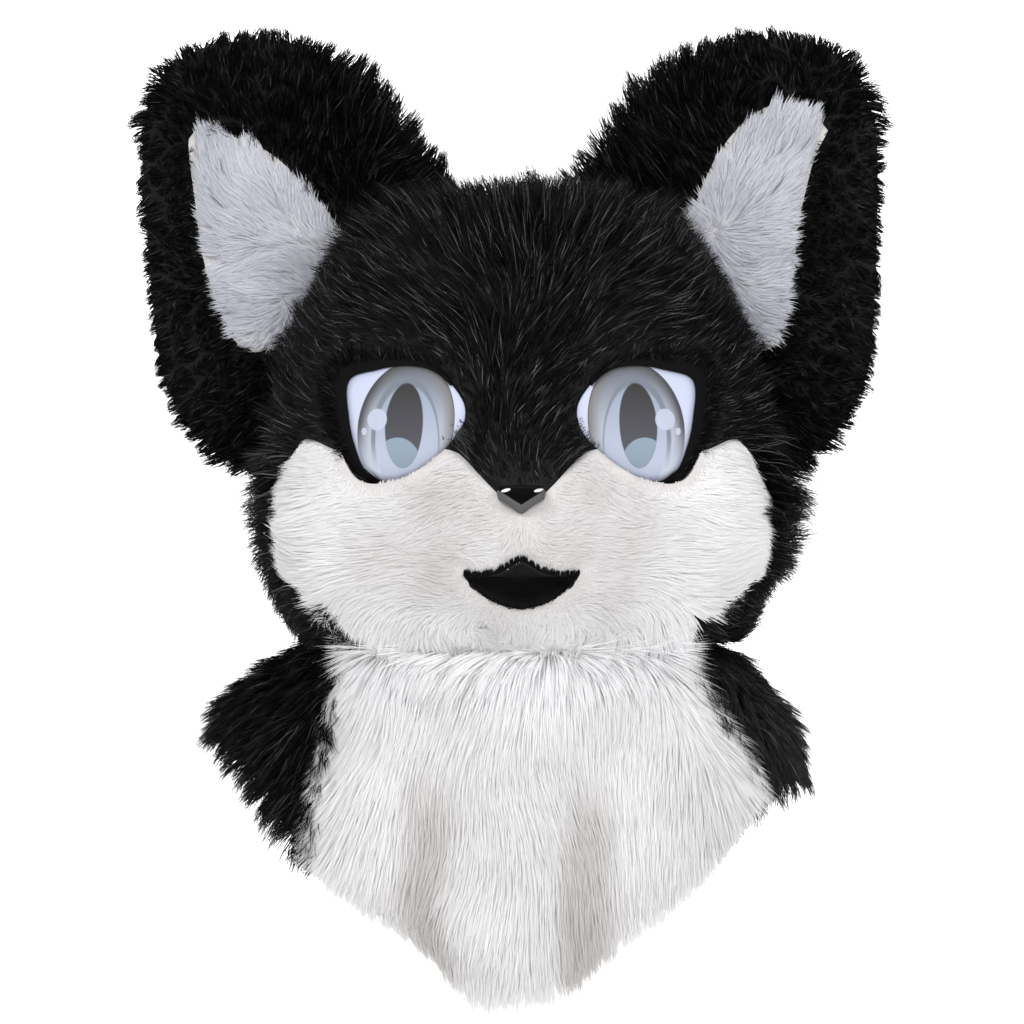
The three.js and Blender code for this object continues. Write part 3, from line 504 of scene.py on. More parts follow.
def prism(name, outline, near, far, place=lambda points: points):
    """A straight solid over an outline, from y = near to y = far."""
    count = len(outline)
    front = np.stack([outline[:, 0], np.full(count, near), outline[:, 1]], -1)
    back = front + (0, far - near, 0)
    ring = range(count)
    sides = [(k, k + count, (k + 1) % count + count, (k + 1) % count) for k in ring]
    faces = [tuple(ring), tuple(k + count for k in reversed(ring))] + sides
    return outwards(mesh_object(name, place(np.concatenate([front, back])), faces))


bridge = np.array([0.0, -FRONT, CROWN - EYE_BELOW])
print("between the eyes there is room for", round(float(clearance(bridge)), 1), "mm of fur each way")

# %% [markdown]
# ## Node trees as sums
# Materials and hair both need arithmetic in node trees. A small class wraps a socket, so that a sum is
# written as a sum. Numbers go through Math nodes and vectors through Vector Math nodes.

# %% A socket to reckon with
class Wire:
    """A socket of a node tree that can be added, multiplied and so on."""

    def __init__(self, bench, socket):
        self.bench, self.socket = bench, socket

    def sum(self, operation, *values):
        vectors = [is_vector(value) for value in values]
        if not any(vectors):
            return self.bench.add("ShaderNodeMath", {"operation": operation}, dict(enumerate(values)))
        if operation == "MULTIPLY" and not all(vectors):
            arrow, size = values if vectors[0] else values[::-1]
            return self.bench.add("ShaderNodeVectorMath", {"operation": "SCALE"}, {0: arrow, "Scale": size})
        return self.bench.add("ShaderNodeVectorMath", {"operation": operation}, dict(enumerate(values)))

    def __add__(self, other):
        return self.sum("ADD", self, other)

    def __radd__(self, other):
        return self.sum("ADD", other, self)

    def __sub__(self, other):
        return self.sum("SUBTRACT", self, other)

    def __rsub__(self, other):
        return self.sum("SUBTRACT", other, self)

    def __mul__(self, other):
        return self.sum("MULTIPLY", self, other)

    def __rmul__(self, other):
        return self.sum("MULTIPLY", other, self)

    def __truediv__(self, other):
        return self.sum("DIVIDE", self, other)

    def __pow__(self, other):
        return self.sum("POWER", self, other)

    def clamped(self):
        return self.bench.add("ShaderNodeClamp", {}, {"Value": self})

    def unit(self):
        return self.bench.add("ShaderNodeVectorMath", {"operation": "NORMALIZE"}, {0: self})

    def cross(self, other):
        return self.bench.add("ShaderNodeVectorMath", {"operation": "CROSS_PRODUCT"}, {0: self, 1: other})


def is_vector(value):
    if isinstance(value, Wire):
        return value.socket.type in {"VECTOR", "RGBA"}
    return isinstance(value, (tuple, list, Vector))


class Bench:
    """A node tree with one way to add a node: its type, its settings, then its sockets."""

    def __init__(self, tree):
        self.tree = tree

    def plug(self, socket, value):
        if isinstance(value, Wire):
            self.tree.links.new(value.socket, socket)
        else:
            socket.default_value = value

    def add(self, kind, settings=None, values=None, out=None):
        node = self.tree.nodes.new(kind)
        for name, value in (settings or {}).items():
            setattr(node, name, value)
        for key, value in (values or {}).items():
            self.plug(find(node.inputs, key), value)
        return Wire(self, find(node.outputs, 0 if out is None else out))

    def more(self, wire, name):
        """Another output of the node that a wire comes from."""
        return Wire(self, find(wire.socket.node.outputs, name))

    def blend(self, share, start, end):
        """Two colours mixed by a share."""
        values = {"Factor": share, "A": start, "B": end}
        return self.add("ShaderNodeMix", {"data_type": "RGBA"}, values, "Result")


def find(sockets, key):
    usable = [socket for socket in sockets if socket.enabled]
    if isinstance(key, int):
        return usable[key]
    return next(socket for socket in usable if key in (socket.name, socket.identifier))


def paint(red, green, blue):
    """A colour as it looks on a screen, 0 to 255, turned into light."""
    shares = np.array([red, green, blue]) / 255
    light = np.where(shares <= 0.04045, shares / 12.92, ((shares + 0.055) / 1.055) ** 2.4)
    return (*light.tolist(), 1.0)


def new_material(name):
    """A material, its bench and its shader, which gets its numbers from what calls this."""
    material = bpy.data.materials.new(name)
    material.use_nodes = True
    shader = material.node_tree.nodes["Principled BSDF"]
    return material, Bench(material.node_tree), shader


print("half of full white on a screen is", round(paint(128, 128, 128)[0], 2), "of its light")

# %% [markdown]
# ## Pile
# Faux fur is a field of tapered hairs that are all combed one way, gathered in small locks. Modelling
# them one by one is hopeless, so Geometry Nodes do it: scatter roots on a panel, put one flat tapered
# strip on each, and bend it from its root to its tip. The tips of neighbours are drawn towards the tip
# of a guide hair, which makes locks. The panel carries, at each of its points, the way out, the way in
# which it is combed, the length of its pile and its tone. It also carries the room round it: how many
# millimetres it lies inside the part that has pile, so that the pile ends in a clean line.

# %% One hair
def hair_template(share):
    """A flat strip that ends in a point. Its points know their place across and along it.
    How long it is drawn doesn't matter, because the tree moves every point."""
    steps = len(share) - 1
    across = [side for _ in share[:-1] for side in (-1, 1)] + [0]
    along = [s for s in share[:-1] for _ in range(2)] + [1]
    faces = [(2 * k, 2 * k + 1, 2 * k + 3, 2 * k + 2) for k in range(steps - 1)]
    faces.append((2 * steps - 2, 2 * steps - 1, 2 * steps))
    hair = mesh_object("hair", [(x, 0, 10 * s) for x, s in zip(across, along)], faces)
    for name, values in (("across", across), ("along", along)):
        hair.data.attributes.new(name, "FLOAT", "POINT").data.foreach_set("value", values)
    return hair


HAIR = hair_template([0, 0.55, 1])
print("a hair has", len(HAIR.data.polygons), "faces")

# %% [markdown]
# ## Words for the tree
# A Geometry Nodes tree uses a few kinds of node again and again: one reads a layer of the mesh, one
# writes a layer, one rolls the dice for each point. Each gets a short name here. The sizes of a pile are
# the named inputs of the tree, so one tree can grow every fur of the head.

# %% Words for the tree
def named(bench, name, kind="FLOAT_VECTOR"):
    return bench.add("GeometryNodeInputNamedAttribute", {"data_type": kind}, {"Name": name})


def keep(bench, geometry, name, value, kind="FLOAT_VECTOR", domain="POINT"):
    """Writes a value onto geometry under a name."""
    settings = {"data_type": kind, "domain": domain}
    values = {"Geometry": geometry, "Name": name, "Value": value}
    return bench.add("GeometryNodeStoreNamedAttribute", settings, values)


def chance(bench, low, high, seed, kind="FLOAT"):
    settings = {"data_type": kind}
    return bench.add("FunctionNodeRandomValue", settings, {"Min": low, "Max": high, "Seed": seed})


# Hairs and locks are counted to a square metre. Gather draws tips together, Spring arches a hair, Stray
# turns it aside, Tufts makes locks differ in length, Roll turns strips about their own length, Softness
# lights them as the cloth is lit, Tone Spread makes some hairs lighter and Rarity makes these few. On
# black pile these few light hairs are painted highlights, for the glints of glossy fibres.
FUR_SIZES = [
    ("Hairs", "NodeSocketFloat", 100000.0),
    ("Locks", "NodeSocketFloat", 10000.0),
    ("Width", "NodeSocketFloat", 0.0008),
    ("Gather", "NodeSocketFloat", 0.5),
    ("Spring", "NodeSocketFloat", 0.8),
    ("Stray", "NodeSocketFloat", 0.2),
    ("Tufts", "NodeSocketFloat", 0.3),
    ("Roll", "NodeSocketFloat", 1.0),
    ("Softness", "NodeSocketFloat", 0.0),
    ("Tone Spread", "NodeSocketFloat", 0.3),
    ("Rarity", "NodeSocketFloat", 6.0),
    ("Seed", "NodeSocketInt", 1),
    ("Hair", "NodeSocketObject", None),
    ("Finish", "NodeSocketMaterial", None),
]

print("a pile has", len(FUR_SIZES), "sizes and settings")

# %% [markdown]
# ## Roots and guides
# Hairs of one lock end close together. So guide hairs are scattered first, one for each lock, and each
# remembers where its tip is. Then the roots of all hairs are scattered, and each hair's tip is drawn
# towards the tip of the nearest guide. A root remembers its hair as a few arrows: where it starts, how
# far it reaches, which way it swells and how wide it is.

# %% Roots and guides
ROOT_DEPTH = 0.0006


def hair_line(bench, seed, stray):
    """Where a hair's tip is, seen from its root: its combed way, a little astray, times its length."""
    wander = chance(bench, (-1, -1, -1), (1, 1, 1), seed, "FLOAT_VECTOR") * stray
    share = chance(bench, 0.6, 1.05, seed + 1) + chance(bench, 0.0, 1.0, seed + 4) ** 10.0 * 0.5
    return (named(bench, "comb") + wander).unit() * (named(bench, "length", "FLOAT") * share)


def scattered(bench, scalp, density, seed):
    """Points over the part of a scalp that has pile."""
    room = named(bench, "room", "FLOAT")
    furred = bench.add("ShaderNodeMath", {"operation": "GREATER_THAN"}, {0: room, 1: 0.0})
    values = {"Mesh": scalp, "Density": density * furred, "Seed": seed}
    return bench.add("GeometryNodeDistributePointsOnFaces", {}, values)


def guide_hairs(bench, scalp, size, place):
    """Guide hairs, one for each lock, that remember where their tips are."""
    guides = scattered(bench, scalp, size["Locks"], size["Seed"] + 1)
    tuft = chance(bench, 1 - size["Tufts"], 1 + size["Tufts"], size["Seed"] + 13)
    tip = place + hair_line(bench, size["Seed"] + 2, size["Stray"] * 1.3) * tuft
    return keep(bench, guides, "guide", tip)


def nearest_tip(bench, guides, place):
    """The tip of the guide hair that stands nearest to a place."""
    values = {"Geometry": guides, "Sample Position": place}
    nearest = bench.add("GeometryNodeSampleNearest", {"domain": "POINT"}, values)
    settings = {"data_type": "FLOAT_VECTOR", "domain": "POINT"}
    values = {"Geometry": guides, "Value": named(bench, "guide"), "Index": nearest}
    return bench.add("GeometryNodeSampleIndex", settings, values)


def rooted_hairs(bench, scalp, size, place, guides):
    """Roots that remember their hair: its start, reach, swell, width and tone."""
    out, length, seed = named(bench, "out"), named(bench, "length", "FLOAT"), size["Seed"]
    own = hair_line(bench, seed + 11, size["Stray"])
    gather = size["Gather"] * chance(bench, 0.4, 1.0, seed + 7)
    reach = own * (1 - gather) + (nearest_tip(bench, guides, place) - place) * gather
    side = reach.cross(out).unit()
    facing = side.cross(reach).unit()
    roll = size["Roll"] * chance(bench, -1.0, 1.0, seed + 8)
    cosine = bench.add("ShaderNodeMath", {"operation": "COSINE"}, {0: roll})
    sine = bench.add("ShaderNodeMath", {"operation": "SINE"}, {0: roll})
    width = size["Width"] * chance(bench, 0.7, 1.3, seed + 9)
    # a few hairs are made lighter: on black pile these are painted highlights, on white pile random tone
    rare_tone_and_sheen = chance(bench, 0.0, 1.0, seed + 10) ** size["Rarity"]
    roots = scattered(bench, scalp, size["Hairs"], seed)
    roots = keep(bench, roots, "root", place - out * ROOT_DEPTH)
    roots = keep(bench, roots, "reach", reach)
    swell = (out * size["Spring"] + reach.unit()).unit() * (length * 0.5)
    roots = keep(bench, roots, "swell", swell)
    roots = keep(bench, roots, "side", (side * cosine + facing * sine) * (width * 0.5))
    tone = (named(bench, "tone", "FLOAT") + size["Tone Spread"] * rare_tone_and_sheen).clamped()
    return keep(bench, roots, "tone", tone, "FLOAT")


print("roots lie", ROOT_DEPTH / MM, "mm deep in the cloth")

# %% [markdown]
# ## Strips on the roots
# A strip is put on every root and made real, because the export drops instances. Then each of its
# points goes to its place on the bent hair. Tone and place along the hair are written into the UV map
# for the finish. White hairs are lit as the surface under them is, which hides that they are flat.

# %% The tree that grows the pile
def strips_on(bench, roots, size):
    """A strip on every root, with each of its points moved to its place on the bent hair."""
    strips = bench.add("GeometryNodeObjectInfo", {}, {"Object": size["Hair"]}, "Geometry")
    hairs = bench.add("GeometryNodeInstanceOnPoints", {}, {"Points": roots, "Instance": strips})
    hairs = bench.add("GeometryNodeRealizeInstances", {}, {"Geometry": hairs})
    t, across = named(bench, "along", "FLOAT"), named(bench, "across", "FLOAT")
    bent = named(bench, "swell") * (t * (1 - t) * 2) + named(bench, "reach") * (t * t)
    spot = named(bench, "root") + bent + named(bench, "side") * (across * (1 - t * t))
    hairs = bench.add("GeometryNodeSetPosition", {}, {"Geometry": hairs, "Position": spot})
    column = named(bench, "tone", "FLOAT") * 0.98 + across * 0.003 + 0.01
    chart = bench.add("ShaderNodeCombineXYZ", {}, {"X": column, "Y": t * 0.98 + 0.01})
    return keep(bench, hairs, "OFBake", chart, "FLOAT2", "CORNER")


def softened(bench, hairs, size):
    """Hairs whose normals lean towards those of the cloth under them."""
    normal = bench.add("GeometryNodeInputNormal")
    soft = (normal * (1 - size["Softness"]) + named(bench, "out") * size["Softness"]).unit()
    values = {"Mesh": hairs, "Custom Normal": soft}
    return bench.add("GeometryNodeSetMeshNormal", {"mode": "FREE", "domain": "POINT"}, values)


def pile_tree():
    tree = bpy.data.node_groups.new("pile", "GeometryNodeTree")
    tree.is_modifier = True
    for way in ("INPUT", "OUTPUT"):
        tree.interface.new_socket("Geometry", in_out=way, socket_type="NodeSocketGeometry")
    for name, kind, value in FUR_SIZES:
        socket = tree.interface.new_socket(name, in_out="INPUT", socket_type=kind)
        if value is not None:
            socket.default_value = value
    bench = Bench(tree)
    scalp = bench.add("NodeGroupInput")
    size = {name: bench.more(scalp, name) for name, _, _ in FUR_SIZES}
    place = bench.add("GeometryNodeInputPosition")
    guides = guide_hairs(bench, scalp, size, place)
    roots = rooted_hairs(bench, scalp, size, place, guides)
    hairs = softened(bench, strips_on(bench, roots, size), size)
    finished = {"Geometry": hairs, "Material": size["Finish"]}
    end = tree.nodes.new("NodeGroupOutput")
    bench.plug(end.inputs["Geometry"], bench.add("GeometryNodeSetMaterial", {}, finished))
    return tree


PILE = pile_tree()
print("the pile tree has", len(PILE.nodes), "nodes")

# %% [markdown]
# ## Growing pile on a panel
# The tree reads what it needs from layers on a panel's mesh, one value for each point. A modifier runs
# it, its result becomes a plain mesh, and the layers that only the tree needed are taken off again.

# %% Growing pile on a panel
def scalp(name, points, faces, **facts):
    """A panel's hair-bearing side, with what the pile tree wants to know at each point."""
    base = mesh_object(name, points, faces)
    for key, values in facts.items():
        kind, field = "FLOAT", "value"
        if np.shape(values) == points.shape:
            kind, field = "FLOAT_VECTOR", "vector"
        else:
            values = np.broadcast_to(values, points.shape[:-1])
        layer = base.data.attributes.new(key, kind, "POINT")
        layer.data.foreach_set(field, np.asarray(values, float).reshape(-1).tolist())
    return base


KEPT_LAYERS = {"position", "OFBake", "custom_normal", "sharp_face", "material_index"}


def grow_pile(base, finish, **sizes):
    """Runs the pile tree on a scalp and leaves the hairs as a plain mesh."""
    growing = base.modifiers.new("pile", "NODES")
    growing.node_group = PILE
    inputs = [item for item in PILE.interface.items_tree if item.in_out == "INPUT"]
    sockets = {item.name.replace(" ", "_"): item.identifier for item in inputs}
    for name, value in {"Hair": HAIR, "Finish": finish, **sizes}.items():
        growing[sockets[name]] = value
    freeze(base)
    layers = base.data.attributes
    for layer in [layer.name for layer in layers]:
        kept = layer in KEPT_LAYERS or layer.startswith(".")
        if not kept and not layers[layer].is_required:
            layers.remove(layers[layer])
    print(base.name, len(base.data.polygons), "faces", [layer.name for layer in layers])
    return base


# Black hairs are flat strips that glint, white ones are lit as the cloth under them is.
BLACK_HAIRS = {"Width": 0.0006, "Roll": 1.1, "Softness": 0.0}
WHITE_HAIRS = {"Width": 0.0008, "Roll": 0.2, "Softness": 1.0, "Rarity": 1.5}
print("a finished pile keeps the layers", sorted(KEPT_LAYERS))

# %% [markdown]
# ## Fur finishes
# The tone of a hair and the place along it are in its UV map: across the map runs the tone, up the map
# runs the hair from root to tip. Black pile is nearly black and catches a grey sheen towards the tip,
# over painted shade that deepens towards its root. White pile runs from a warmer, dimmer tone to bright
# white by each hair's tone, and its roots are not darkened.

# %% Black pile and white pile
def fur_finish(name, dark, light, root, roughness, gloss, glow=0.0):
    """A pile whose colour runs from dark to light with a hair's tone, and has painted shade towards its root.
    Glow is the share of the light that shines through, which white hairs have and black ones don't."""
    material, bench, shader = new_material(name)
    chart = bench.add("ShaderNodeUVMap", {"uv_map": "OFBake"})
    tone = bench.add("ShaderNodeSeparateXYZ", {}, {0: chart})
    along = bench.more(tone, "Y")
    colour = bench.blend(tone, dark, light)
    # painted shade, deepening towards the root where the hairs cover each other
    shade = (1 - along) ** 2 * root
    colour = bench.blend(shade, colour, tuple(0.35 * c for c in dark[:3]) + (1.0,))
    bench.plug(shader.inputs["Base Color"], colour)
    bench.plug(shader.inputs["Roughness"], (roughness + (0.5 - tone) * 0.15).clamped())
    shader.inputs["Specular IOR Level"].default_value = gloss
    if glow:
        through = bench.add("ShaderNodeBsdfTranslucent", {}, {"Color": light})
        solid = Wire(bench, shader.outputs["BSDF"])
        both = bench.add("ShaderNodeMixShader", {}, {0: glow, 1: solid, 2: through})
        bench.plug(material.node_tree.nodes["Material Output"].inputs["Surface"], both)
    return material


# the light end of the black pile is the colour of its painted highlights
BLACK_PILE = fur_finish("black pile", paint(2, 2, 3), paint(112, 112, 115), 0.5, 0.5, 0.07)
# the darker tones of white pile carry painted shade, on the muzzle and in the bib's folds, as well as random
# tone
WHITE_PILE = fur_finish("white pile", paint(200, 195, 191), paint(254, 254, 255), 0.0, 0.85, 0.0, 0.3)
# the linings' pile is a darker, bluer copy of the white pile: painted shade for the ears' hollows
SHADED_LINING_PILE = fur_finish("lining pile", paint(180, 182, 194), paint(246, 247, 252), 0.03, 0.85, 0.0, 0.25)


def knit_finish(name, colour, valley_shade):
    """The knitted backing: fine rows of loops in one colour, with painted shade in the valleys between them.
    """
    material, bench, shader = new_material(name)
    place = bench.add("ShaderNodeTexCoord", out="Object")
    loops = bench.add("ShaderNodeTexNoise", {}, {"Vector": place, "Scale": 900.0, "Detail": 3.0})
    bench.plug(shader.inputs["Base Color"], bench.blend(loops, valley_shade, colour))
    bump = bench.add("ShaderNodeBump", {}, {"Height": loops, "Strength": 0.4, "Distance": 0.0004})
    bench.plug(shader.inputs["Normal"], bump)
    shader.inputs["Roughness"].default_value = 0.95
    return material


# each knit's second colour is the painted shade between its loops
BLACK_KNIT = knit_finish("black knit", paint(8, 8, 9), paint(3, 3, 4))
WHITE_KNIT = knit_finish("white knit", paint(225, 222, 222), paint(190, 186, 184))
print("finishes:", [finish.name for finish in (BLACK_PILE, WHITE_PILE, SHADED_LINING_PILE, BLACK_KNIT, WHITE_KNIT)])

# %% [markdown]
# ## The ears' form
# An ear is a thick panel, cupped like a spoon. A table gives its two edges, its thickness and its cupping
# at several heights. It is needed already here, because no hood pile grows under an ear, and the pile
# beside the white linings is kept short enough not to cover them.

# %% The ears' form
EAR_LENGTH, EAR_HALF_BASE, EAR_THICK, EAR_CUP, EAR_BACK = 178, 100, 15, 22, 12
EARS = {
    "left": {"side": -1, "across": 101.5, "below": 64, "tilt": 53, "turn": 8,
             "first": 0.26, "last": 0.82, "inner_pile": 24},
    "right": {"side": 1, "across": 95.5, "below": 66.5, "tilt": 50, "turn": 14,
              "first": 0.16, "last": 0.72, "inner_pile": 29},
}  # fmt: skip
# rise, inner edge, outer edge, thickness, cupping
EAR_SECTIONS = [
    (-0.08, -0.98, 1.06, 1.0, 0.7),
    (0.2, -1.09, 1.06, 1.0, 0.95),
    (0.38, -1.18, 0.93, 0.95, 1.0),
    (0.56, -1.18, 0.62, 0.88, 0.95),
    (0.73, -1.12, 0.28, 0.78, 0.8),
    (0.86, -0.95, 0.01, 0.62, 0.5),
    (0.95, -0.77, -0.23, 0.42, 0.22),
    (1.0, -0.55, -0.55, 0.0, 0.0),
]


def ear_axes(ear):
    tilt, turn = np.radians(ear["tilt"]), np.radians(-ear["turn"])
    lean = np.array([[np.cos(tilt), 0, np.sin(tilt)], [0, 1, 0], [-np.sin(tilt), 0, np.cos(tilt)]])
    swing = np.array([[np.cos(turn), -np.sin(turn), 0], [np.sin(turn), np.cos(turn), 0], [0, 0, 1]])
    return swing @ lean


def onto_ear(ear, points):
    placed = points @ ear_axes(ear).T + (ear["across"], EAR_BACK, CROWN - ear["below"])
    return placed * (ear["side"], 1, 1)


def into_ear(ear, points):
    return (points * (ear["side"], 1, 1) - (ear["across"], EAR_BACK, CROWN - ear["below"])) @ ear_axes(ear)


def ear_place(share, face, rise):
    """A place on the ear in its own frame; face is -1 in front and 1 behind."""
    arch = np.sin(np.pi * np.clip(share, 0, 1))
    inner, outer = smooth(EAR_SECTIONS, rise, 1), smooth(EAR_SECTIONS, rise, 2)
    x = EAR_HALF_BASE * mix(inner, outer, share)
    bulge = np.abs(arch) ** 0.6 * EAR_THICK * smooth(EAR_SECTIONS, rise, 3)
    y = EAR_CUP * smooth(EAR_SECTIONS, rise, 4) * arch**2 + face * bulge
    return np.stack([x, y, rise * EAR_LENGTH + 0 * x], -1)


# the lining's first and last rise on the ear
LINING_RISE = 0.8, 0.1
# where the white linings show in the front view
LININGS = {
    "left": [
        (196, 128), (228, 138), (266, 154), (310, 196), (342, 246),
        (312, 308), (250, 349), (214, 284), (199, 204),
    ],
    "right": [
        (774, 108), (826, 116), (810, 160), (794, 230), (788, 290),
        (765, 348), (718, 296), (690, 248), (704, 192), (732, 140),
    ],
}  # fmt: skip


def from_view(outline):
    """Turns an outline noted in the front view, clockwise, into millimetres, anticlockwise."""
    scale = STEP * (0 - CAMERA_PLACE[1]) / NOTED_AT
    across, down = np.array(outline[::-1], float).T
    x = (across - VIEW_MIDDLE) * scale + CAMERA_PLACE[0]
    return np.stack([x, (VIEW_MIDDLE - down) * scale + CAMERA_PLACE[2]], -1)


def outside_ear(ear, points):
    """Millimetres from an ear's body; negative inside it."""
    local = into_ear(ear, points)
    rise = local[..., 2] / EAR_LENGTH
    inner, outer = (EAR_HALF_BASE * smooth(EAR_SECTIONS, rise, column) for column in (1, 2))
    share = (local[..., 0] - inner) / np.maximum(outer - inner, 1)
    arch = np.sin(np.pi * np.clip(share, 0, 1))
    middle = EAR_CUP * smooth(EAR_SECTIONS, rise, 4) * arch**2
    thick = arch**0.6 * EAR_THICK * smooth(EAR_SECTIONS, rise, 3)
    off = np.abs(local[..., 1] - middle) - thick
    aside = np.maximum(-share, share - 1) * (outer - inner)
    return np.maximum(np.maximum(off, aside), np.maximum(-0.08 - rise, rise - 1) * EAR_LENGTH)


tip = onto_ear(EARS["right"], np.array([0, 0, EAR_LENGTH]))
print("the right ear ends at", [round(float(x), 1) for x in tip], "mm")

# %% [markdown]
# ## How the pile is combed
# A combed direction is first laid on the cloth and then raised from it, by less for pile that lies flat
# and by more for pile that stands. In front the hood's pile runs up and outwards from the bridge of the
# nose, and behind it runs down.

# %% Combing
def laid(direction, normal, lean):
    """A combed direction, laid on the surface and raised from it; lean 1 lies flat, 0 stands up."""
    flat = unit(direction - (direction * normal).sum(-1, keepdims=True) * normal)
    lean = np.broadcast_to(lean, normal.shape[:-1])[..., None]
    return unit(flat * lean + normal * (1 - lean))


def hood_comb(points):
    """Up and outwards from the bridge of the nose in front, down behind and below."""
    x, y, z = points[..., 0], points[..., 1], points[..., 2]
    eye_line = CROWN - EYE_BELOW
    up = np.clip((z - eye_line + 35) / 60, -0.9, 1)
    front = np.stack([x / 55, 0 * x + 0.5, up], -1)
    behind = np.stack([x / 300, 0.2 + 0 * x, -1 + 0 * x], -1)
    return mix(unit(front), unit(behind), step(y, 0, 60)[..., None])


level_lean = laid(np.array([1.0, 0, 0]), np.array([0, 0, 1.0]), 0.7)
print("a lean of 0.7 on a level cloth points", level_lean.round(2))

# %% [markdown]
# ## The hood's cloth
# The hood is one grid round the whole head without the white face, whose cells are left out. A front
# view's note of the white face's outer edge tells where its pile has to stop beside the cheeks.

# %% The hood's cloth
def hood_panel():
    turn, arc = hood_grid()
    rows, columns = turn.shape
    faces = grid_faces(rows, columns, True, lambda i, j: j < CROWN_ROWS or i >= FACE_COLUMNS)
    return head_place(turn, arc), head_normal(turn, arc), faces


def cloth_piece(name, place, normal, faces, finish):
    piece = shell(name, place + normal * (UNDER + BACKING), place + normal * UNDER, faces)
    piece.data.materials.append(finish)
    return smooth_faces(piece)


# the white face's outer edge in the front view, left half, from above the eye down to under the chin
WHITE_EDGE = [
    (330, 380), (305, 430), (292, 455), (281, 485), (275, 515), (274, 543), (279, 564),
    (288, 580), (302, 594), (322, 604), (348, 612), (364, 636), (375, 700),
]  # fmt: skip
# the other half is its mirror image about the middle of the face
FACE_MIDDLE = 521
OTHER_HALF = [(2 * FACE_MIDDLE - x, y) for x, y in reversed(WHITE_EDGE)]
WHITE_OUTLINE = np.array(WHITE_EDGE + OTHER_HALF, float)

place, normal, faces = hood_panel()
hood = cloth_piece("hood_cloth", place, normal, faces, BLACK_KNIT)
turn, arc = face_grid()
face_faces = grid_faces(*turn.shape)
face_place, face_normal = head_place(turn, arc), head_normal(turn, arc)
print("the hood's cloth has", len(hood.data.polygons), "faces")

# %% [markdown]
# ## The hood's pile
# The pile is longest beside the cheeks and over the crown, and it is clipped short round the eyes and
# the nose. It is grown twice: on the hood itself, and on the strip of black that lies beside the white
# cheeks, which has a finer grid so that the two furs meet along a clean line.

# %% The hood's pile
def cheek_tufts(skin):
    """1 where the long tufts beside the cheeks grow, 0 elsewhere."""
    aside, down = np.abs(skin[..., 0]), -skin[..., 2]
    tufts = step(aside, 112, 138) * step(down, 90, 130) * (1 - step(down, 180, 215))
    return tufts * (skin[..., 1] < 60)


def hood_length(skin, gap, tufts):
    """The black pile's length in millimetres at each point of the head."""
    aside, z = np.abs(skin[..., 0]), skin[..., 2]
    low = 1 - step(z, -130, -20)
    long = 26 * mix(1, 0.6, np.maximum(low - step(aside, 50, 120) * 0.6, 0)) + 6 * step(z, -30, 0)
    long = long + tufts * mix(4, 11, skin[..., 0] > 0) - 6 * step(-z, 195, 215)
    long = long + 9 * np.exp(-(((z + 145) / 14) ** 2)) * step(aside, 112, 138)
    long = np.minimum(long, 3.5 + 0.8 * np.maximum(gap, 0))
    for outline in LININGS.values():
        apart = beyond(from_view(outline), skin[..., [0, 2]])
        apart = apart + np.where(skin[..., 1] < 30, 0, ELSEWHERE)
        long = np.minimum(long, 14 + 0.8 * np.maximum(apart, 0))
    return long


def hood_facts(skin, normal, room):
    """What the pile tree wants to know about the black fur at each point of the head."""
    x, z, gap, tufts = skin[..., 0], skin[..., 2], clearance(skin), cheek_tufts(skin)
    near = 1 - step(gap, 0, 14)
    shy = np.where(np.abs(x) < EYE_ACROSS, 0.25, 0.9)
    comb = unit(hood_comb(skin)) + away_from_openings(skin) * (near * shy)[..., None]
    comb = comb + sway(skin, 90, 5) * 0.35 * (1 - near[..., None])
    lean = 0.66 - 0.3 * step(z, -40, 5) - tufts * mix(0.12, 0.24, x > 0)
    # painted light: the left side of the hood below the crown is a little lighter; the rest of the tone
    # differs at random
    tone = 0.03 * step(-x, 20, 90) * step(-z, 0, 60) + 0.02 * step(waver(skin, 60, 9), -0.5, 1)
    under_ears = np.min([outside_ear(ear, skin) for ear in EARS.values()], axis=0)
    return {
        "comb": laid(comb, normal, lean),
        "length": hood_length(skin, gap, tufts) * MM,
        "tone": tone,
        "room": np.minimum(np.minimum(gap - 0.8, under_ears + 6), room),
    }


# the hood's few light hairs are painted highlights
HOOD_SIZES = dict(
    BLACK_HAIRS, Hairs=340000.0, Locks=14000.0, Gather=0.6, Spring=0.6, Stray=0.34, Tufts=0.45,
    Tone_Spread=1.0, Rarity=13.0,
)  # fmt: skip
skin = place + normal * (UNDER + BACKING)
hood_pile = scalp("hood_pile", skin, faces, out=normal, **hood_facts(skin, normal, 1.0))
grow_pile(hood_pile, BLACK_PILE, Seed=3, **HOOD_SIZES)

turn, arc = face_grid(finer=3)
fine_faces, fine_normal = grid_faces(*turn.shape), head_normal(turn, arc)
skin = head_place(turn, arc) + fine_normal * (UNDER + BACKING)
white = -beyond(WHITE_OUTLINE, seen(skin)) * STEP + waver(skin, 26, 31) * 3 + waver(skin, 9, 37) * 2
facts = hood_facts(skin, fine_normal, 0.5 - white)
cheek_pile = scalp("hood_cheek_pile", skin, fine_faces, out=fine_normal, **facts)
grow_pile(cheek_pile, BLACK_PILE, Seed=13, **HOOD_SIZES)

# %% [markdown]
# ## The white face
# One panel of shorter white pile covers the cheeks, the muzzle and the chin. It is combed sideways, away
# from the nose, and ends in long tufts at the cheeks. Its cloth is the same grid as the black one beside
# it: both are cut with one straight block over the white outline, and each keeps its own side.

# %% Face
# where the cheeks are, a step of the front view is this many millimetres wide
STEP_ON_FACE = 0.582


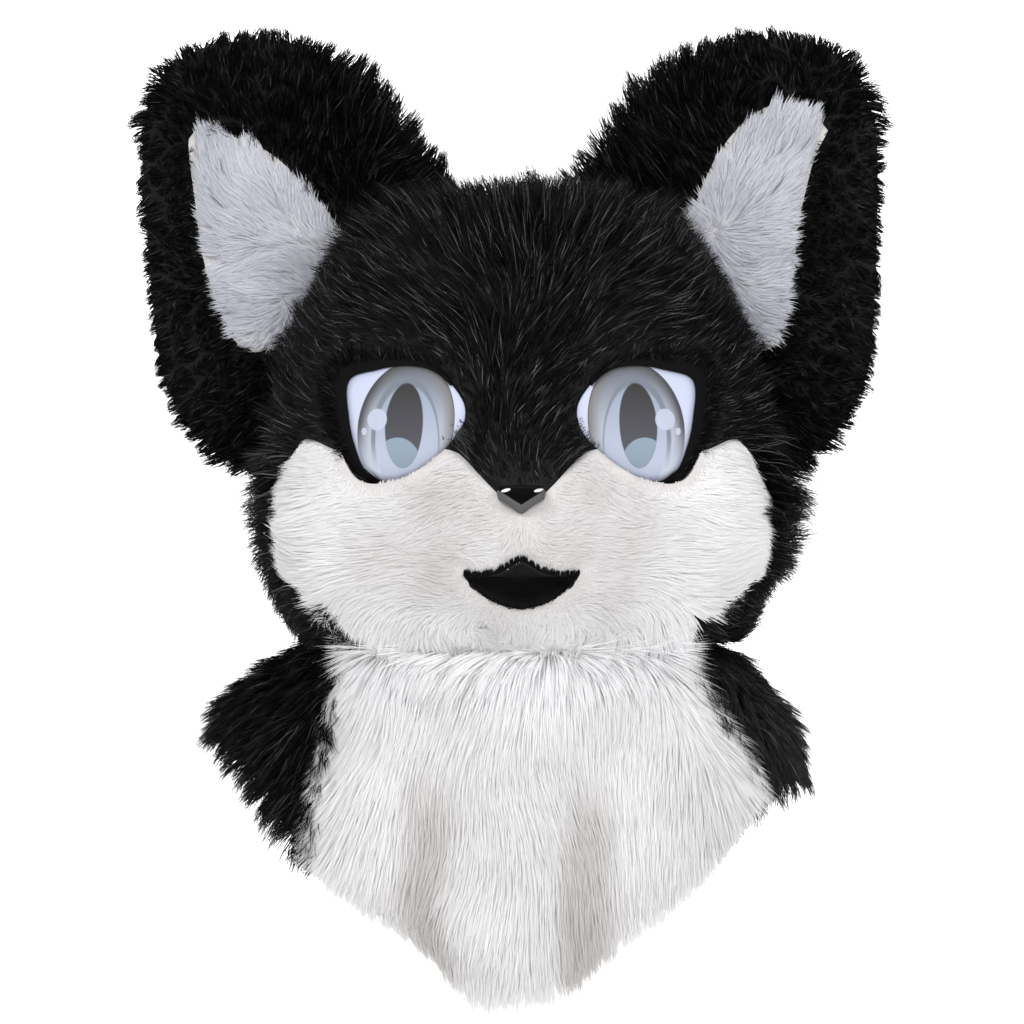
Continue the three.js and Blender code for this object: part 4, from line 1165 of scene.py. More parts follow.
def face_comb(skin, gap, low):
    """Sideways from the nose, down over the chin, and away from the eyes, nose and mouth."""
    x, across = skin[..., 0], np.abs(skin[..., 0])
    aside = [np.sign(x) * step(across, 0, 12), 0 * across, -0.1 - 0.9 * step(-across, -14, 0)]
    down = [x * 0.004, 0 * across, -1 + 0 * across]
    comb = unit(mix(np.stack(aside, -1), np.stack(down, -1), low[..., None]))
    comb = comb + away_from_openings(skin) * (1 - step(gap, 0, 9))[..., None] * 2.5
    comb = comb + sway(skin, 70, 11) * 0.3 * step(gap, 6, 20)[..., None]
    return comb + sway(skin, 24, 19) * 0.35 * low[..., None]


def face_length(skin, gap, white, low):
    """The white pile's length in millimetres: short on the muzzle, long at the cheeks' edge."""
    long = mix(9, 22, step(np.abs(skin[..., 0]), 25, 110))
    long = np.minimum(long, 13 + 0.4 * np.maximum(white, 0)) + (4 + 3 * waver(skin, 22, 17)) * low
    return np.minimum(long, 2.6 + 0.6 * np.maximum(gap, 0))


def face_facts(skin, normal, white):
    gap, across, low = clearance(skin), np.abs(skin[..., 0]), step(-skin[..., 2], 205, 232)
    # painted light: the cheeks are a lighter tone than the muzzle, the right cheek most
    cheek = step(across, 40, 105) * np.where(skin[..., 0] > 0, 0.36, 0.24)
    return {
        "comb": laid(face_comb(skin, gap, low), normal, mix(0.84, 0.78, low)),
        "length": face_length(skin, gap, white, low) * MM,
        # the chin is painted lighter, against the shade under it; the rest of the tone differs at random
        "tone": 0.46 + cheek + 0.25 * low + 0.08 * waver(skin, 45, 15),
        "room": np.minimum(gap - 1.1, white - 0.5),
    }


face = cloth_piece("face_cloth", face_place, face_normal, face_faces, WHITE_KNIT)
cheek = cloth_piece("hood_cheek_cloth", face_place, face_normal, face_faces, BLACK_KNIT)
middle = (-VIEW_MIDDLE * STEP_ON_FACE + CAMERA_PLACE[0], VIEW_MIDDLE * STEP_ON_FACE + CAMERA_PLACE[2])
edge = WHITE_OUTLINE * (STEP_ON_FACE, -STEP_ON_FACE) + middle
white_side = prism("white_side", edge[::-1], -300, 200)
carve(face, white_side, "INTERSECT")
carve(cheek, white_side)
discard(white_side)
facts = face_facts(skin, fine_normal, white)
face_pile = scalp("face_pile", skin, fine_faces, out=fine_normal, **facts)
grow_pile(face_pile, WHITE_PILE, Hairs=1500000.0, Locks=30000.0, Gather=0.3, Spring=0.2, Tufts=0.3,
          Stray=0.1, Tone_Spread=0.16, Seed=23, **WHITE_HAIRS)  # fmt: skip

# %% [markdown]
# ## Openings
# Straight blocks over the outlines of lid, eye and mouth, a little wider than these, are taken out of
# the cloth with a Boolean. The cloth is a closed shell, so the cut leaves clean walls.

# %% Openings cut in hood and face
inner, outer = lid_edges(extra=0.3)
lid_edge = np.concatenate([inner, outer[::-1]])
for side in (-1, 1):
    for name, edge in (("eye_hole", grow(EYE, 0.8)), ("lid_hole", lid_edge)):
        hole = prism(name, edge, -60, 60, lambda points, side=side: onto_eye(side, points))
        for piece in (hood, face, cheek):
            carve(piece, hole)
        discard(hole)
mouth_hole = prism("mouth_hole", grow(MOUTH, 0.3), -220, 0)
carve(face, mouth_hole)
discard(mouth_hole)
for part in (hood, hood_pile, cheek, cheek_pile, face, face_pile):
    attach(part, "root")
    "white_fur" if part in (face, face_pile) else "black_fur"
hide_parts("hood")
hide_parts("face")
print("hood cloth", len(hood.data.polygons), "faces; face cloth", len(face.data.polygons))

# %% [markdown]
# ## Ears
# Each ear is a thick foam panel, cupped like a spoon, in long black fur, with a white lining sewn into
# its hollow. The pile fans outwards from the middle, so that the rim looks spiky against the light.

# %% Ears
EAR_SHARES, EAR_RISES = 26, 30
# the ears' few light hairs are painted highlights
EAR_SIZES = dict(
    BLACK_HAIRS, Hairs=680000.0, Locks=14000.0, Gather=0.68, Spring=0.5, Stray=0.34, Tufts=0.5,
    Tone_Spread=0.55, Rarity=14.0,
)  # fmt: skip


def ear_grid(finer=1):
    """Shares across the front and back again, and rises from the tip to the base."""
    shares, rises = EAR_SHARES * finer, EAR_RISES * finer
    half = (1 - np.cos(np.pi * np.arange(shares) / shares)) / 2
    share = np.concatenate([half, 1 - half])
    face = np.repeat([-1, 1], shares)
    rise = 1 - 1.08 * (np.arange(rises + 1) / rises) ** 1.35
    return np.broadcast_arrays(share, rise[:, None], face)


def grid_normals(points, flip):
    """Normals of a closed grid of rows and columns, from its neighbours."""
    across = np.roll(points, -1, axis=1) - np.roll(points, 1, axis=1)
    down = np.gradient(points, axis=0)
    normal = unit(np.cross(down, across))
    return -normal if flip else normal


def turned(faces, ear):
    """The left ear is the right one seen in a mirror, so its faces run the other way round."""
    return [face[::-1] for face in faces] if ear["side"] < 0 else faces


def tip_way(ear):
    return onto_ear(ear, np.array([0.0, 0, 1])) - onto_ear(ear, np.array([0.0, 0, 0]))


def ear_skin(ear, finer=1):
    """Places on an ear, their normals and the middle of each row of them."""
    share, rise, front = ear_grid(finer)
    points = onto_ear(ear, ear_place(share, front, rise))
    middle = points[:, :1] * 0 + points.mean(axis=1, keepdims=True)
    normal, straight = grid_normals(points, ear["side"] < 0), unit(points - middle)
    wrong = (normal * straight).sum(-1, keepdims=True) < -0.2
    normal = np.where(wrong, straight, normal)
    normal[0] = tip_way(ear)
    return points, normal, middle


def ear_body(name, ear):
    points, _, _ = ear_skin(ear)
    rows, columns = points.shape[:2]
    cap = [(rows - 1) * columns + k for k in range(columns)]
    faces = turned(grid_faces(rows, columns, True), ear) + turned([tuple(cap[::-1])], ear)
    body = smooth_faces(mesh_object(f"ear_{name}_cloth", points, faces, weld=True))
    body.data.materials.append(BLACK_KNIT)
    return body


def lining_room(ear, white, points, share, rise):
    """How far inside the lining a place of the ear lies, in millimetres."""
    wide = EAR_HALF_BASE * 2
    aside = np.minimum((share - ear["first"]) * wide, (ear["last"] - share) * wide)
    return np.min([-beyond(white, points[..., [0, 2]]), aside, (rise - LINING_RISE[1]) * EAR_LENGTH], axis=0)


def ear_pile(name, ear, white):
    """Black pile that fans out to the rim, shorter where it lies round the lining."""
    share, rise, front = ear_grid(2)
    points, normal, middle = ear_skin(ear, 2)
    lining = np.where(front < 0, lining_room(ear, white, points, share, rise), -50)
    comb = unit(points - middle + tip_way(ear) * 20) + tip_way(ear) * 0.15 + sway(points, 60, 21) * 0.3
    inner = mix(ear["inner_pile"], 12, step(rise, 0.5, 0.72)) - 5 * (1 - step(rise, 0.1, 0.4))
    outer = mix(17, 9, step(rise, 0.08, 0.32)) + 9 * step(rise, 0.88, 0.96)
    long = mix(mix(inner, outer, step(share, 0.25, 0.8)), 15, step(lining, -14, 0))
    faces = turned(grid_faces(*share.shape, True), ear)
    facts = {"length": long * MM, "room": np.minimum(-1 - lining, (rise + 0.02) * EAR_LENGTH)}
    comb = laid(comb, normal, 0.55)
    pile = scalp(f"ear_{name}_pile", points, faces, out=normal, comb=comb, tone=0 * rise, **facts)
    return grow_pile(pile, BLACK_PILE, Seed=40 + ear["side"], **EAR_SIZES)


print("an ear is", EAR_LENGTH, "mm long and", 2 * EAR_HALF_BASE, "mm wide at its base")

# %% [markdown]
# ## Linings
# A lining is a thin sheet that follows the ear's hollow. A wide patch of it is made first, and a block
# over the outline that the lining shows from the front cuts it to shape. Its white pile is combed away
# from the middle and towards the tip.

# %% Linings
LINING_SIZES = dict(
    WHITE_HAIRS, Hairs=1600000.0, Locks=16000.0, Gather=0.4, Spring=0.3, Stray=0.2, Tufts=0.4,
    Roll=0.25, Softness=0.95, Tone_Spread=0.4, Rarity=2.0,
)  # fmt: skip


def lining_skin(ear, steps):
    """Places on the ear's front where the lining may lie: its backing's two sides."""
    shares, rises = np.linspace(ear["first"], ear["last"], steps), np.linspace(*LINING_RISE, steps)
    under = ear_place(*np.broadcast_arrays(shares, -1, rises[:, None]))
    low, high = (onto_ear(ear, under - (0, out, 0)) for out in (UNDER, UNDER + BACKING))
    normal = grid_normals(high, ear["side"] < 0)
    normal[:, [0, -1]] = normal[:, [1, -2]]
    return low, high, normal, turned(grid_faces(steps, steps), ear)


def lining_cloth(name, ear, white):
    low, high, _, faces = lining_skin(ear, 25)
    lining = smooth_faces(shell(f"lining_{name}_cloth", high, low, faces))
    lining.data.materials.append(WHITE_KNIT)
    window = prism("window", grow(white, 2.0), -200, 200)
    carve(lining, window, "INTERSECT")
    discard(window)
    return lining


def lining_pile(name, ear, white):
    """White pile that is combed away from the lining's middle and towards the tip."""
    _, high, normal, faces = lining_skin(ear, 49)
    inside = -beyond(white, high[..., [0, 2]]) + waver(high, 16, 77) * 2 - 3
    share = np.array(mix(ear["first"], ear["last"], 0.5))
    centre = onto_ear(ear, ear_place(share, -1, np.array(0.4)))
    comb = unit(high - centre) * mix(0.9, 0.4, step(inside, 0, 20))[..., None]
    comb = laid(comb + tip_way(ear) * 0.6 + sway(high, 50, 71) * 0.3, normal, 0.75)
    facts = {
        "length": mix(13, 18, step(inside, 0, 25)) * MM,
        "tone": 0.5 + 0.1 * waver(high, 40, 75),
        "room": inside,
    }
    pile = scalp(f"lining_{name}_pile", high, faces, out=normal, comb=comb, **facts)
    return grow_pile(pile, SHADED_LINING_PILE, Seed=60 + ear["side"], **LINING_SIZES)


for name, ear in EARS.items():
    white = closed_curve(from_view(LININGS[name]), 6)
    body, black = ear_body(name, ear), ear_pile(name, ear, white)
    lining, pale = lining_cloth(name, ear, white), lining_pile(name, ear, white)
    for part in (body, black, lining, pale):
        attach(part, "root")
        "black_fur" if part in (body, black) else "white_fur"
    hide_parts(f"ear_{name}")
    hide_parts(f"ear_lining_{name}")

# %% [markdown]
# ## Bib and cape
# Two sheets of fur hang from the neck: a white bib in front and a black cape round the shoulders. They
# are cut wider than the neck, so they fall in soft folds. The pile hangs down in long locks.

# %% The drape's form
DRAPE_REACH, DRAPE_DROP, DRAPE_INSET, FOLD_DEPTH = 170, 192, 7, 9
BIB_TOP, BIB_HEM = (-55, 49), (-50, 65)
# turn, reach, drop
HEM = [
    (-180, 0.95, 0.83), (-150, 0.96, 0.76), (-120, 0.99, 0.52), (-100, 1.0, 0.34), (-86, 1.01, 0.26),
    (-70, 0.95, 0.41), (-50, 0.84, 0.66), (-36, 0.78, 0.81), (-18, 0.73, 0.96), (-4, 0.71, 1.01),
    (14, 0.72, 0.96), (32, 0.77, 0.81), (50, 0.85, 0.6), (64, 0.89, 0.44), (84, 0.92, 0.41),
    (104, 0.96, 0.42), (126, 0.97, 0.56), (152, 0.96, 0.77), (180, 0.95, 0.83),
]  # fmt: skip
FOLDS = [
    (-180, 0.5), (-158, -0.5), (-135, 0.5), (-112, -0.4), (-90, 0.2), (-70, -0.2), (-44, 0.8), (-26, -1.0),
    (-4, 0.9), (17, -1.0), (40, 0.9), (66, -0.2), (90, 0.2), (112, -0.4), (135, 0.5), (158, -0.5), (180, 0.5),
]  # fmt: skip


def drape_place(turn, fall):
    """A place on the hanging cloth, by degrees from the front and the share of the way down."""
    neck = head_place(turn, np.ones_like(turn))
    rim = neck - head_normal(turn, np.ones_like(turn)) * DRAPE_INSET
    start, angle = np.hypot(rim[..., 0], rim[..., 1]), np.arctan2(rim[..., 0], -rim[..., 1])
    hem = DRAPE_REACH * smooth(HEM, turn, 1)
    reach = mix(start, hem, np.sin(fall * np.pi / 2)) + FOLD_DEPTH * smooth(FOLDS, turn, 1) * fall
    swing = np.radians(turn) - angle
    swing = angle + (swing - 2 * np.pi * np.round(swing / (2 * np.pi))) * np.minimum(fall * 2, 1)
    drop = DRAPE_DROP * smooth(HEM, turn, 2) * fall
    return np.stack([reach * np.sin(swing), -reach * np.cos(swing), RIM - SEAM - UNDER - drop], -1)


def drape_normal(turn, fall):
    normal = outward(drape_place, turn, np.clip(fall, 0.03, 0.97), 0.5, 0.02)
    normal[..., 2] = np.where(fall < 1e-6, 0, normal[..., 2])
    return unit(normal)


def drape_sheet(columns, rows, top, hem):
    share = np.linspace(0, 1, columns + 1)
    fall = np.linspace(0, 1, rows + 1)[:, None]
    turn = mix(mix(top[0], top[1], share), mix(hem[0], hem[1], share), fall)
    turn = np.where(turn > 180, turn - 360, turn)
    fall = np.broadcast_to(fall, turn.shape)
    return turn, fall, drape_place(turn, fall), drape_normal(turn, fall)


def sheet_sizes(points):
    """How wide and long a sheet is on the cloth itself, and its area, in metres."""
    wide = np.linalg.norm(np.diff(points, axis=1), axis=-1).sum(1).max() * MM
    tall = np.linalg.norm(np.diff(points, axis=0), axis=-1).sum(0).max() * MM
    a, b = np.diff(points[:-1], axis=1), np.diff(points[:, :-1], axis=0)
    area = np.linalg.norm(np.cross(a, b), axis=-1).sum() * MM**2
    return float(wide), float(tall), float(area)


SEAM_TURN = SEAM / DRAPE_REACH * 180 / np.pi * 2
BIB_EDGES = BIB_TOP, BIB_HEM
CAPE_EDGES = [(edge[1] + SEAM_TURN, 360 + edge[0] - SEAM_TURN) for edge in BIB_EDGES]
print("bib and cape are", round(SEAM_TURN, 2), "degrees apart along their seams")

# %% [markdown]
# ## The bib's pile
# The bib's pile hangs down in long locks, and it is longer and stands off more along both sides, where
# it spreads over the black cape. Painted shade dims its tone in the valleys between the folds, and
# painted light brightens its top, against the shade under the chin.

# %% The bib's pile
def bib_facts(turn, fall, skin, normal):
    gaps = [np.linalg.norm(skin - skin[:, [end]], axis=-1) for end in (0, -1)]
    side_gap = np.minimum(*gaps)
    x, edge = skin[..., 0], 1 - step(side_gap, 4, 26)
    edge = edge * np.where(x > 0, 1, mix(0.4, 1, step(fall, 0.55, 0.75)))
    aside = x * 0.0012 + np.sign(x) * edge * 1.2
    comb = np.stack([aside, skin[..., 1] * 0, mix(0.1, -1, step(fall, 0, 0.06))], -1)
    comb = comb + sway(skin, 110, 83) * 0.22
    hem = 18 - 7 * step(np.abs(turn), 12, 40)
    tufts = 11 * edge * step(fall, 0.05, 0.2) * (1 - step(fall, 0.75, 0.95))
    long = mix(32, hem, step(fall, 0.72, 1.0)) + tufts
    long = np.minimum(long, 20 + 0.8 * side_gap)
    # painted shade in the valleys of the folds, and painted light at the top, against the shade under the
    # chin
    valley_shade = step(-smooth(FOLDS, turn, 1), 0.1, 1.0) * step(fall, 0.2, 0.6)
    tone = 0.72 - 0.62 * valley_shade + 0.3 * (1 - step(fall, 0, 0.2)) + 0.08 * waver(skin, 60, 85)
    lean = mix(0.6, 0.9, step(fall, 0, 0.12)) - 0.12 * edge
    return {"length": long * MM, "tone": tone, "comb": laid(comb, normal, lean)}


BIB_SIZES = dict(
    WHITE_HAIRS, Hairs=1200000.0, Locks=12000.0, Gather=0.32, Spring=0.1, Stray=0.1, Tufts=0.25,
    Tone_Spread=0.2, Seed=81,
)  # fmt: skip
print("the bib has", BIB_SIZES["Locks"] / 1e4, "locks to a square centimetre")

# %% [markdown]
# ## The cape's pile
# The cape's black pile stands off more and is combed down and a little outwards. Its lower corner on the
# left of the picture spreads like a small wing, and the side on the right is given a lighter tone,
# painted light for where it catches more of the lamps.

# %% The cape's pile
def cape_facts(turn, fall, skin, normal):
    x, lit = skin[..., 0], step(skin[..., 0], 60, 140)
    front = 1 - step(np.linalg.norm(skin - skin[:, -1:], axis=-1), 4, 30)
    aside = x * mix(0.006, 0.001, lit) + 0.9 * front
    comb = np.stack([aside, skin[..., 1] * 0.005, 0 * fall - 1], -1)
    wing = step(-x, 150, 195) * step(-skin[..., 2], 330, 350)
    comb = comb + sway(skin, 80, 93) * 0.3 - wing[..., None] * (0.5, 0, 0)
    long = 27 - 3 * (1 - lit) * (1 - fall) + 7 * wing
    lean = mix(0.78, mix(0.62, 0.74, lit), fall)
    # the lighter tone on the right is painted light
    return {"length": long * MM, "tone": 0.14 * lit, "comb": laid(comb, normal, lean)}


# the cape's few light hairs are painted highlights
CAPE_SIZES = dict(
    BLACK_HAIRS, Hairs=560000.0, Locks=14000.0, Gather=0.68, Spring=0.4, Stray=0.3, Tufts=0.45,
    Tone_Spread=0.65, Rarity=12.0, Seed=91,
)  # fmt: skip
print("the cape has", CAPE_SIZES["Locks"] / 1e4, "locks to a square centimetre")

# %% [markdown]
# ## Hanging bib and cape
# Both are made alike: a closed sheet of cloth, pile on its outer side, and a printed measure of how
# large the sheet is when it lies flat, measured along the modelled cloth.

# %% Bib and cape
def hang(name, edges, columns, cloths, facts_of, sizes):
    """Makes a hanging sheet of fur, and prints its flat size."""
    knit, finish, slot, held = cloths
    turn, fall, points, normal = drape_sheet(columns, 30, *edges)
    faces, skin = grid_faces(*turn.shape), points + normal * BACKING
    cloth = smooth_faces(shell(f"{name}_cloth", skin, points, faces))
    cloth.data.materials.append(knit)
    facts = facts_of(turn, fall, skin, normal)
    pile = scalp(f"{name}_pile", skin, faces, out=normal, room=np.ones_like(fall), **facts)
    grow_pile(pile, finish, **sizes)
    for part in (cloth, pile):
        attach(part, "root")
    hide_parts(name)
    wide, tall, area = sheet_sizes(points)
    print(name, "is", round(wide, 3), "m wide,", round(tall, 3), "m long,", round(area, 4), "square metres")
    flat, area = (round(wide, 3), round(tall, 3)), round(min(area, wide * tall), 4)


hang("bib", BIB_EDGES, 48, (WHITE_KNIT, WHITE_PILE, "white_fur", "hung"), bib_facts, BIB_SIZES)
hang("cape", CAPE_EDGES, 80, (BLACK_KNIT, BLACK_PILE, "black_fur", "draped"), cape_facts, CAPE_SIZES)

# %% [markdown]
# ## Eyes
# An eye is a plate with a printed picture on it: a tall pale iris with a dark upper edge, a long pupil
# and white highlights. The plate carries a UV map in its own millimetres, and the picture is drawn on
# that map with ellipses, each one a sum of squares.

# %% Eye plates
# the plate's map is this many millimetres wide
PLATE_CHART = 100


def eye_plate(side, rings=8, wall=2.0):
    """A domed plate over the eye's outline, with a flat map of its own places."""
    count = len(EYE)
    flat = np.concatenate([[(0.0, 0.0)], *[EYE * ring / rings for ring in range(1, rings + 1)]])
    front = np.stack([flat[:, 0], dome(flat), flat[:, 1]], -1)
    points = np.concatenate([front, front + (0, wall, 0)])
    total = len(flat)
    faces = []
    for k in range(count):
        n = (k + 1) % count
        faces.append((0, 1 + k, 1 + n))
        for ring in range(rings - 1):
            a = 1 + ring * count
            faces.append((a + k, a + count + k, a + count + n, a + n))
    behind = [tuple(v + total for v in reversed(face)) for face in faces]
    edge = 1 + (rings - 1) * count
    for k in range(count):
        n = (k + 1) % count
        behind.append((edge + n, edge + k, edge + k + total, edge + n + total))
    faces = faces + behind
    if side < 0:
        faces = [face[::-1] for face in faces]
    plate = mesh_object(f"eye_plate_{'left' if side < 0 else 'right'}", onto_eye(side, points), faces)
    chart = plate.data.uv_layers.new(name="plate")
    both = np.concatenate([flat, flat])
    for loop in plate.data.loops:
        chart.data[loop.index].uv = both[loop.vertex_index] / PLATE_CHART + 0.5
    return smooth_faces(plate)


print("an eye plate is", [round(float(size), 1) for size in np.ptp(EYE, axis=0)], "mm wide and tall")

# %% [markdown]
# ## Drawing with ellipses
# The picture is drawn on the plate's own map, so it moves with the plate. An ellipse is a sum of two
# squares: the sum's root is 1 on its edge, less inside and more outside. A soft step from it gives a
# mask, and each mask lays one more colour over those before, as a painter works from back to front.

# %% Drawing with ellipses
def ring_size(out, up, centre, half, lean=0.0):
    """How far a place lies out from an ellipse's centre: 1 on its edge."""
    c, s = float(np.cos(lean)), float(np.sin(lean))
    x, y = out - centre[0], up - centre[1]
    return ((((x * c + y * s) / half[0]) ** 2) + (((y * c - x * s) / half[1]) ** 2)) ** 0.5


def within(size, soft):
    """1 inside an ellipse and 0 outside, with a soft edge."""
    return ((1 - size) * (1 / soft) + 0.5).clamped()


print("halfway out on an ellipse 12 mm wide the ring's size is", ring_size(3.0, 0.0, (0, 0), (6, 4)))

# %% [markdown]
# ## Eye print
# From the outside inwards come the pale lilac of the plate, a dark line, the iris with its taupe rim, an
# arch over the pupil, the pupil with a pale disc at its foot, and white highlights at the outer side.

# %% Eye print
# the iris on the plate: centre, half width and half height in millimetres, lean of its top to the nose
IRIS = (0.3, -1.8), (29.6, 38.0), 0.22
# highlights: place, half width and height, strength
GLINTS = [((17.6, 2.1), (6.3, 6.2), 0.96), ((25.9, -4.6), (1.7, 2.1), 1), ((25.6, -4.7), (0.8, 1.1), 0.5)]


def painted_iris(bench, out, up, height):
    """The iris is light below and grey-blue above, with a soft taupe rim that fades out at the bottom."""
    centre, half, lean = IRIS
    colour = bench.blend(height, paint(212, 219, 236), paint(98, 103, 112))
    core = within(ring_size(out, up, centre, (half[0] - 4.6, half[1] - 4.2), lean), 0.24)
    rim = (1 - core) * (height * 2.6 - 0.25).clamped()
    taupe = bench.blend((out / 40 + 0.5).clamped(), paint(124, 120, 118), paint(66, 66, 68))
    return bench.blend(rim * 0.92, colour, taupe)


def painted_pupil(bench, out, up, height, colour):
    """A darker arch over the pupil, whose ends run down beside it as thin rings, and the pupil itself."""
    arch = within(ring_size(out, up, (0.2, -11.0), (21.2, 37.2)), 0.05)
    inner = within(ring_size(out, up, (-0.8, -10.5), (19.2, 32.0)), 0.06)
    fade = (up / 18 + 1.5).clamped()
    colour = bench.blend(arch * (1 - inner) * fade * 0.9, colour, paint(118, 126, 138))
    pale = bench.blend(height, paint(194, 200, 222), paint(134, 150, 166))
    colour = bench.blend(inner * 0.9, colour, pale)
    pupil = within(ring_size(out, up, (0.7, -1.3), (11.7, 24.3), 0.05), 0.05)
    deep = bench.blend((up / 48 + 0.5).clamped(), paint(90, 90, 100), paint(52, 51, 49))
    disc = within(ring_size(out, up, (4.6, -21.0), (13.4, 12.6)), 0.04)
    return bench.blend(disc * pupil, bench.blend(pupil, colour, deep), paint(142, 158, 175))


def painted_white(bench, out, up, height, colour):
    """Pale lilac outside the iris, a dark line between the two, and the highlights over both."""
    centre, half, lean = IRIS
    iris = within(ring_size(out, up, centre, half, lean), 0.015)
    inside = within(ring_size(out, up, centre, (half[0] - 0.7, half[1] - 0.7), lean), 0.03)
    line = iris * (1 - inside) * (height * 1.6).clamped() * 0.7
    colour = bench.blend(line, colour, paint(70, 68, 68))
    colour = bench.blend(iris, paint(200, 207, 230), colour)
    for spot, size, strength in GLINTS:
        glint = within(ring_size(out, up, spot, size), 0.08)
        colour = bench.blend(glint * strength, colour, paint(190, 195, 214))
    return colour


def eye_print():
    """The picture on the plate; out and up are millimetres on it, height runs from its foot to its top."""
    material, bench, shader = new_material("eye print")
    chart = bench.add("ShaderNodeUVMap", {"uv_map": "plate"})
    apart = bench.add("ShaderNodeSeparateXYZ", {}, {0: chart})
    out, up = (apart - 0.5) * PLATE_CHART, (bench.more(apart, "Y") - 0.5) * PLATE_CHART
    height = (up / (2 * EYE_HALF_HEIGHT) + 0.5).clamped()
    colour = painted_iris(bench, out, up, height)
    colour = painted_pupil(bench, out, up, height, colour)
    colour = painted_white(bench, out, up, height, colour)
    grain = bench.add("ShaderNodeTexNoise", {}, {"Vector": chart, "Scale": 260.0, "Detail": 2.0})
    colour = bench.blend(((grain - 0.45) * 0.45).clamped(), colour, paint(60, 60, 66))
    bench.plug(shader.inputs["Base Color"], colour)
    bump = bench.add("ShaderNodeBump", {}, {"Height": grain, "Strength": 0.1, "Distance": 0.0002})
    bench.plug(shader.inputs["Normal"], bump)
    shader.inputs["Roughness"].default_value = 0.6
    shader.inputs["Specular IOR Level"].default_value = 0.2
    return material


EYE_PRINT = eye_print()
for side, name in ((-1, "left"), (1, "right")):
    plate = eye_plate(side)
    plate.data.materials.append(EYE_PRINT)
    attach(plate, "root")
    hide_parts(f"eye_{name}")
    print(plate.name, len(plate.data.polygons), "faces")

# %% [markdown]
# ## Eyelids
# A lid is a strip of smooth short-napped cloth round the top and the outer side of an eye. It is swept
# along the eye's outline: at each place its edge on the plate, its rounded top and its edge on the fur
# give a small profile, and the profiles are joined.

# %% Eyelids
def lid_cloth():
    material, bench, shader = new_material("lid cloth")
    place = bench.add("ShaderNodeTexCoord", out="Object")
    nap = bench.add("ShaderNodeTexNoise", {}, {"Vector": place, "Scale": 1400.0, "Detail": 2.0})
    bench.plug(shader.inputs["Base Color"], bench.blend(nap, paint(2, 2, 3), paint(9, 9, 11)))
    bump = bench.add("ShaderNodeBump", {}, {"Height": nap, "Strength": 0.3, "Distance": 0.0003})
    bench.plug(shader.inputs["Normal"], bump)
    shader.inputs["Roughness"].default_value = 0.8
    shader.inputs["Specular IOR Level"].default_value = 0.12
    return material


def lid_rows(side, shares, depths, lap=0.3):
    """Rows of places along the lid, from its edge on the plate (0) to its edge on the fur (1)."""
    inner, outer = lid_edges(lap=lap)
    rows = []
    for share, depth in zip(shares, depths):
        flat = mix(inner, outer, share)
        rows.append(np.stack([flat[:, 0], depth + dome(flat), flat[:, 1]], -1))
    return onto_eye(side, np.stack(rows))


def lid_piece(side, name):
    shares = [0, 0, 0.06, 0.2, 0.5, 0.8, 0.95, 1, 1]
    depths = [-0.3, -1.2, -1.8, -2.1, -2.2, -2.0, -1.6, -1.0, -0.3]
    points = lid_rows(side, shares, depths)
    rows, columns = points.shape[:2]
    faces = grid_faces(rows, columns)
    last = (rows - 1) * columns
    faces += [(last + k, k, k + 1, last + k + 1) for k in range(columns - 1)]
    ends = [[j * columns + k for j in range(rows)] for k in (0, columns - 1)]
    faces += [tuple(ends[0][::-1]), tuple(ends[1])]
    lid = smooth_faces(outwards(mesh_object(f"lid_{name}", points, faces)))
    lid.data.materials.append(LID)
    return lid


def lid_fringe(side, name):
    """Black pile on the lid's outer part, where the fur of the hood closes over its seam."""
    shares = np.linspace(0.4, 1.04, 5)
    points = lid_rows(side, shares, [-2.2, -2.2, -2.1, -1.8, -1.2])
    facing = onto_eye(side, np.array([0.0, -1, 0])) - onto_eye(side, np.array([0.0, 0, 0]))
    facing = np.broadcast_to(facing, points.shape)
    comb = unit(points - points[:1] + (0, 0, 1.0)) + (side * 0.2, 0, 0.25)
    long = np.broadcast_to(np.linspace(5, 11, 5)[:, None], points.shape[:2])
    base = scalp(
        f"lid_pile_{name}", points, grid_faces(*points.shape[:2]), out=facing,
        comb=laid(comb, facing, 0.78), length=long * MM, tone=0 * long, room=1 + 0 * long,
    )  # fmt: skip
    sizes = {**HOOD_SIZES, "Hairs": 1200000.0, "Tone_Spread": 0.3, "Seed": 111 + side}
    return grow_pile(base, BLACK_PILE, **sizes)


LID = lid_cloth()
for side, name in ((-1, "left"), (1, "right")):
    lid, fringe = lid_piece(side, name), lid_fringe(side, name)
    for part, finish in ((lid, "lid_cloth"), (fringe, "black_fur")):
        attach(part, "root")
    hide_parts(f"eyelid_{name}")
    print(lid.name, len(lid.data.polygons), "faces")

# %% [markdown]
# ## Nose
# The nose is a small moulded piece, flat in front and V-shaped below, glued on at the point of the
# black fur. It is built in rings: its outline at the fur, the same outline further forward, and then
# smaller ones that round it off. A grey band follows the V, and two white glints on it are painted
# reflections of light.

# %% Nose
NOSE_BACK, NOSE_FRONT, NOSE_CHART = -138.5, -154.5, 40


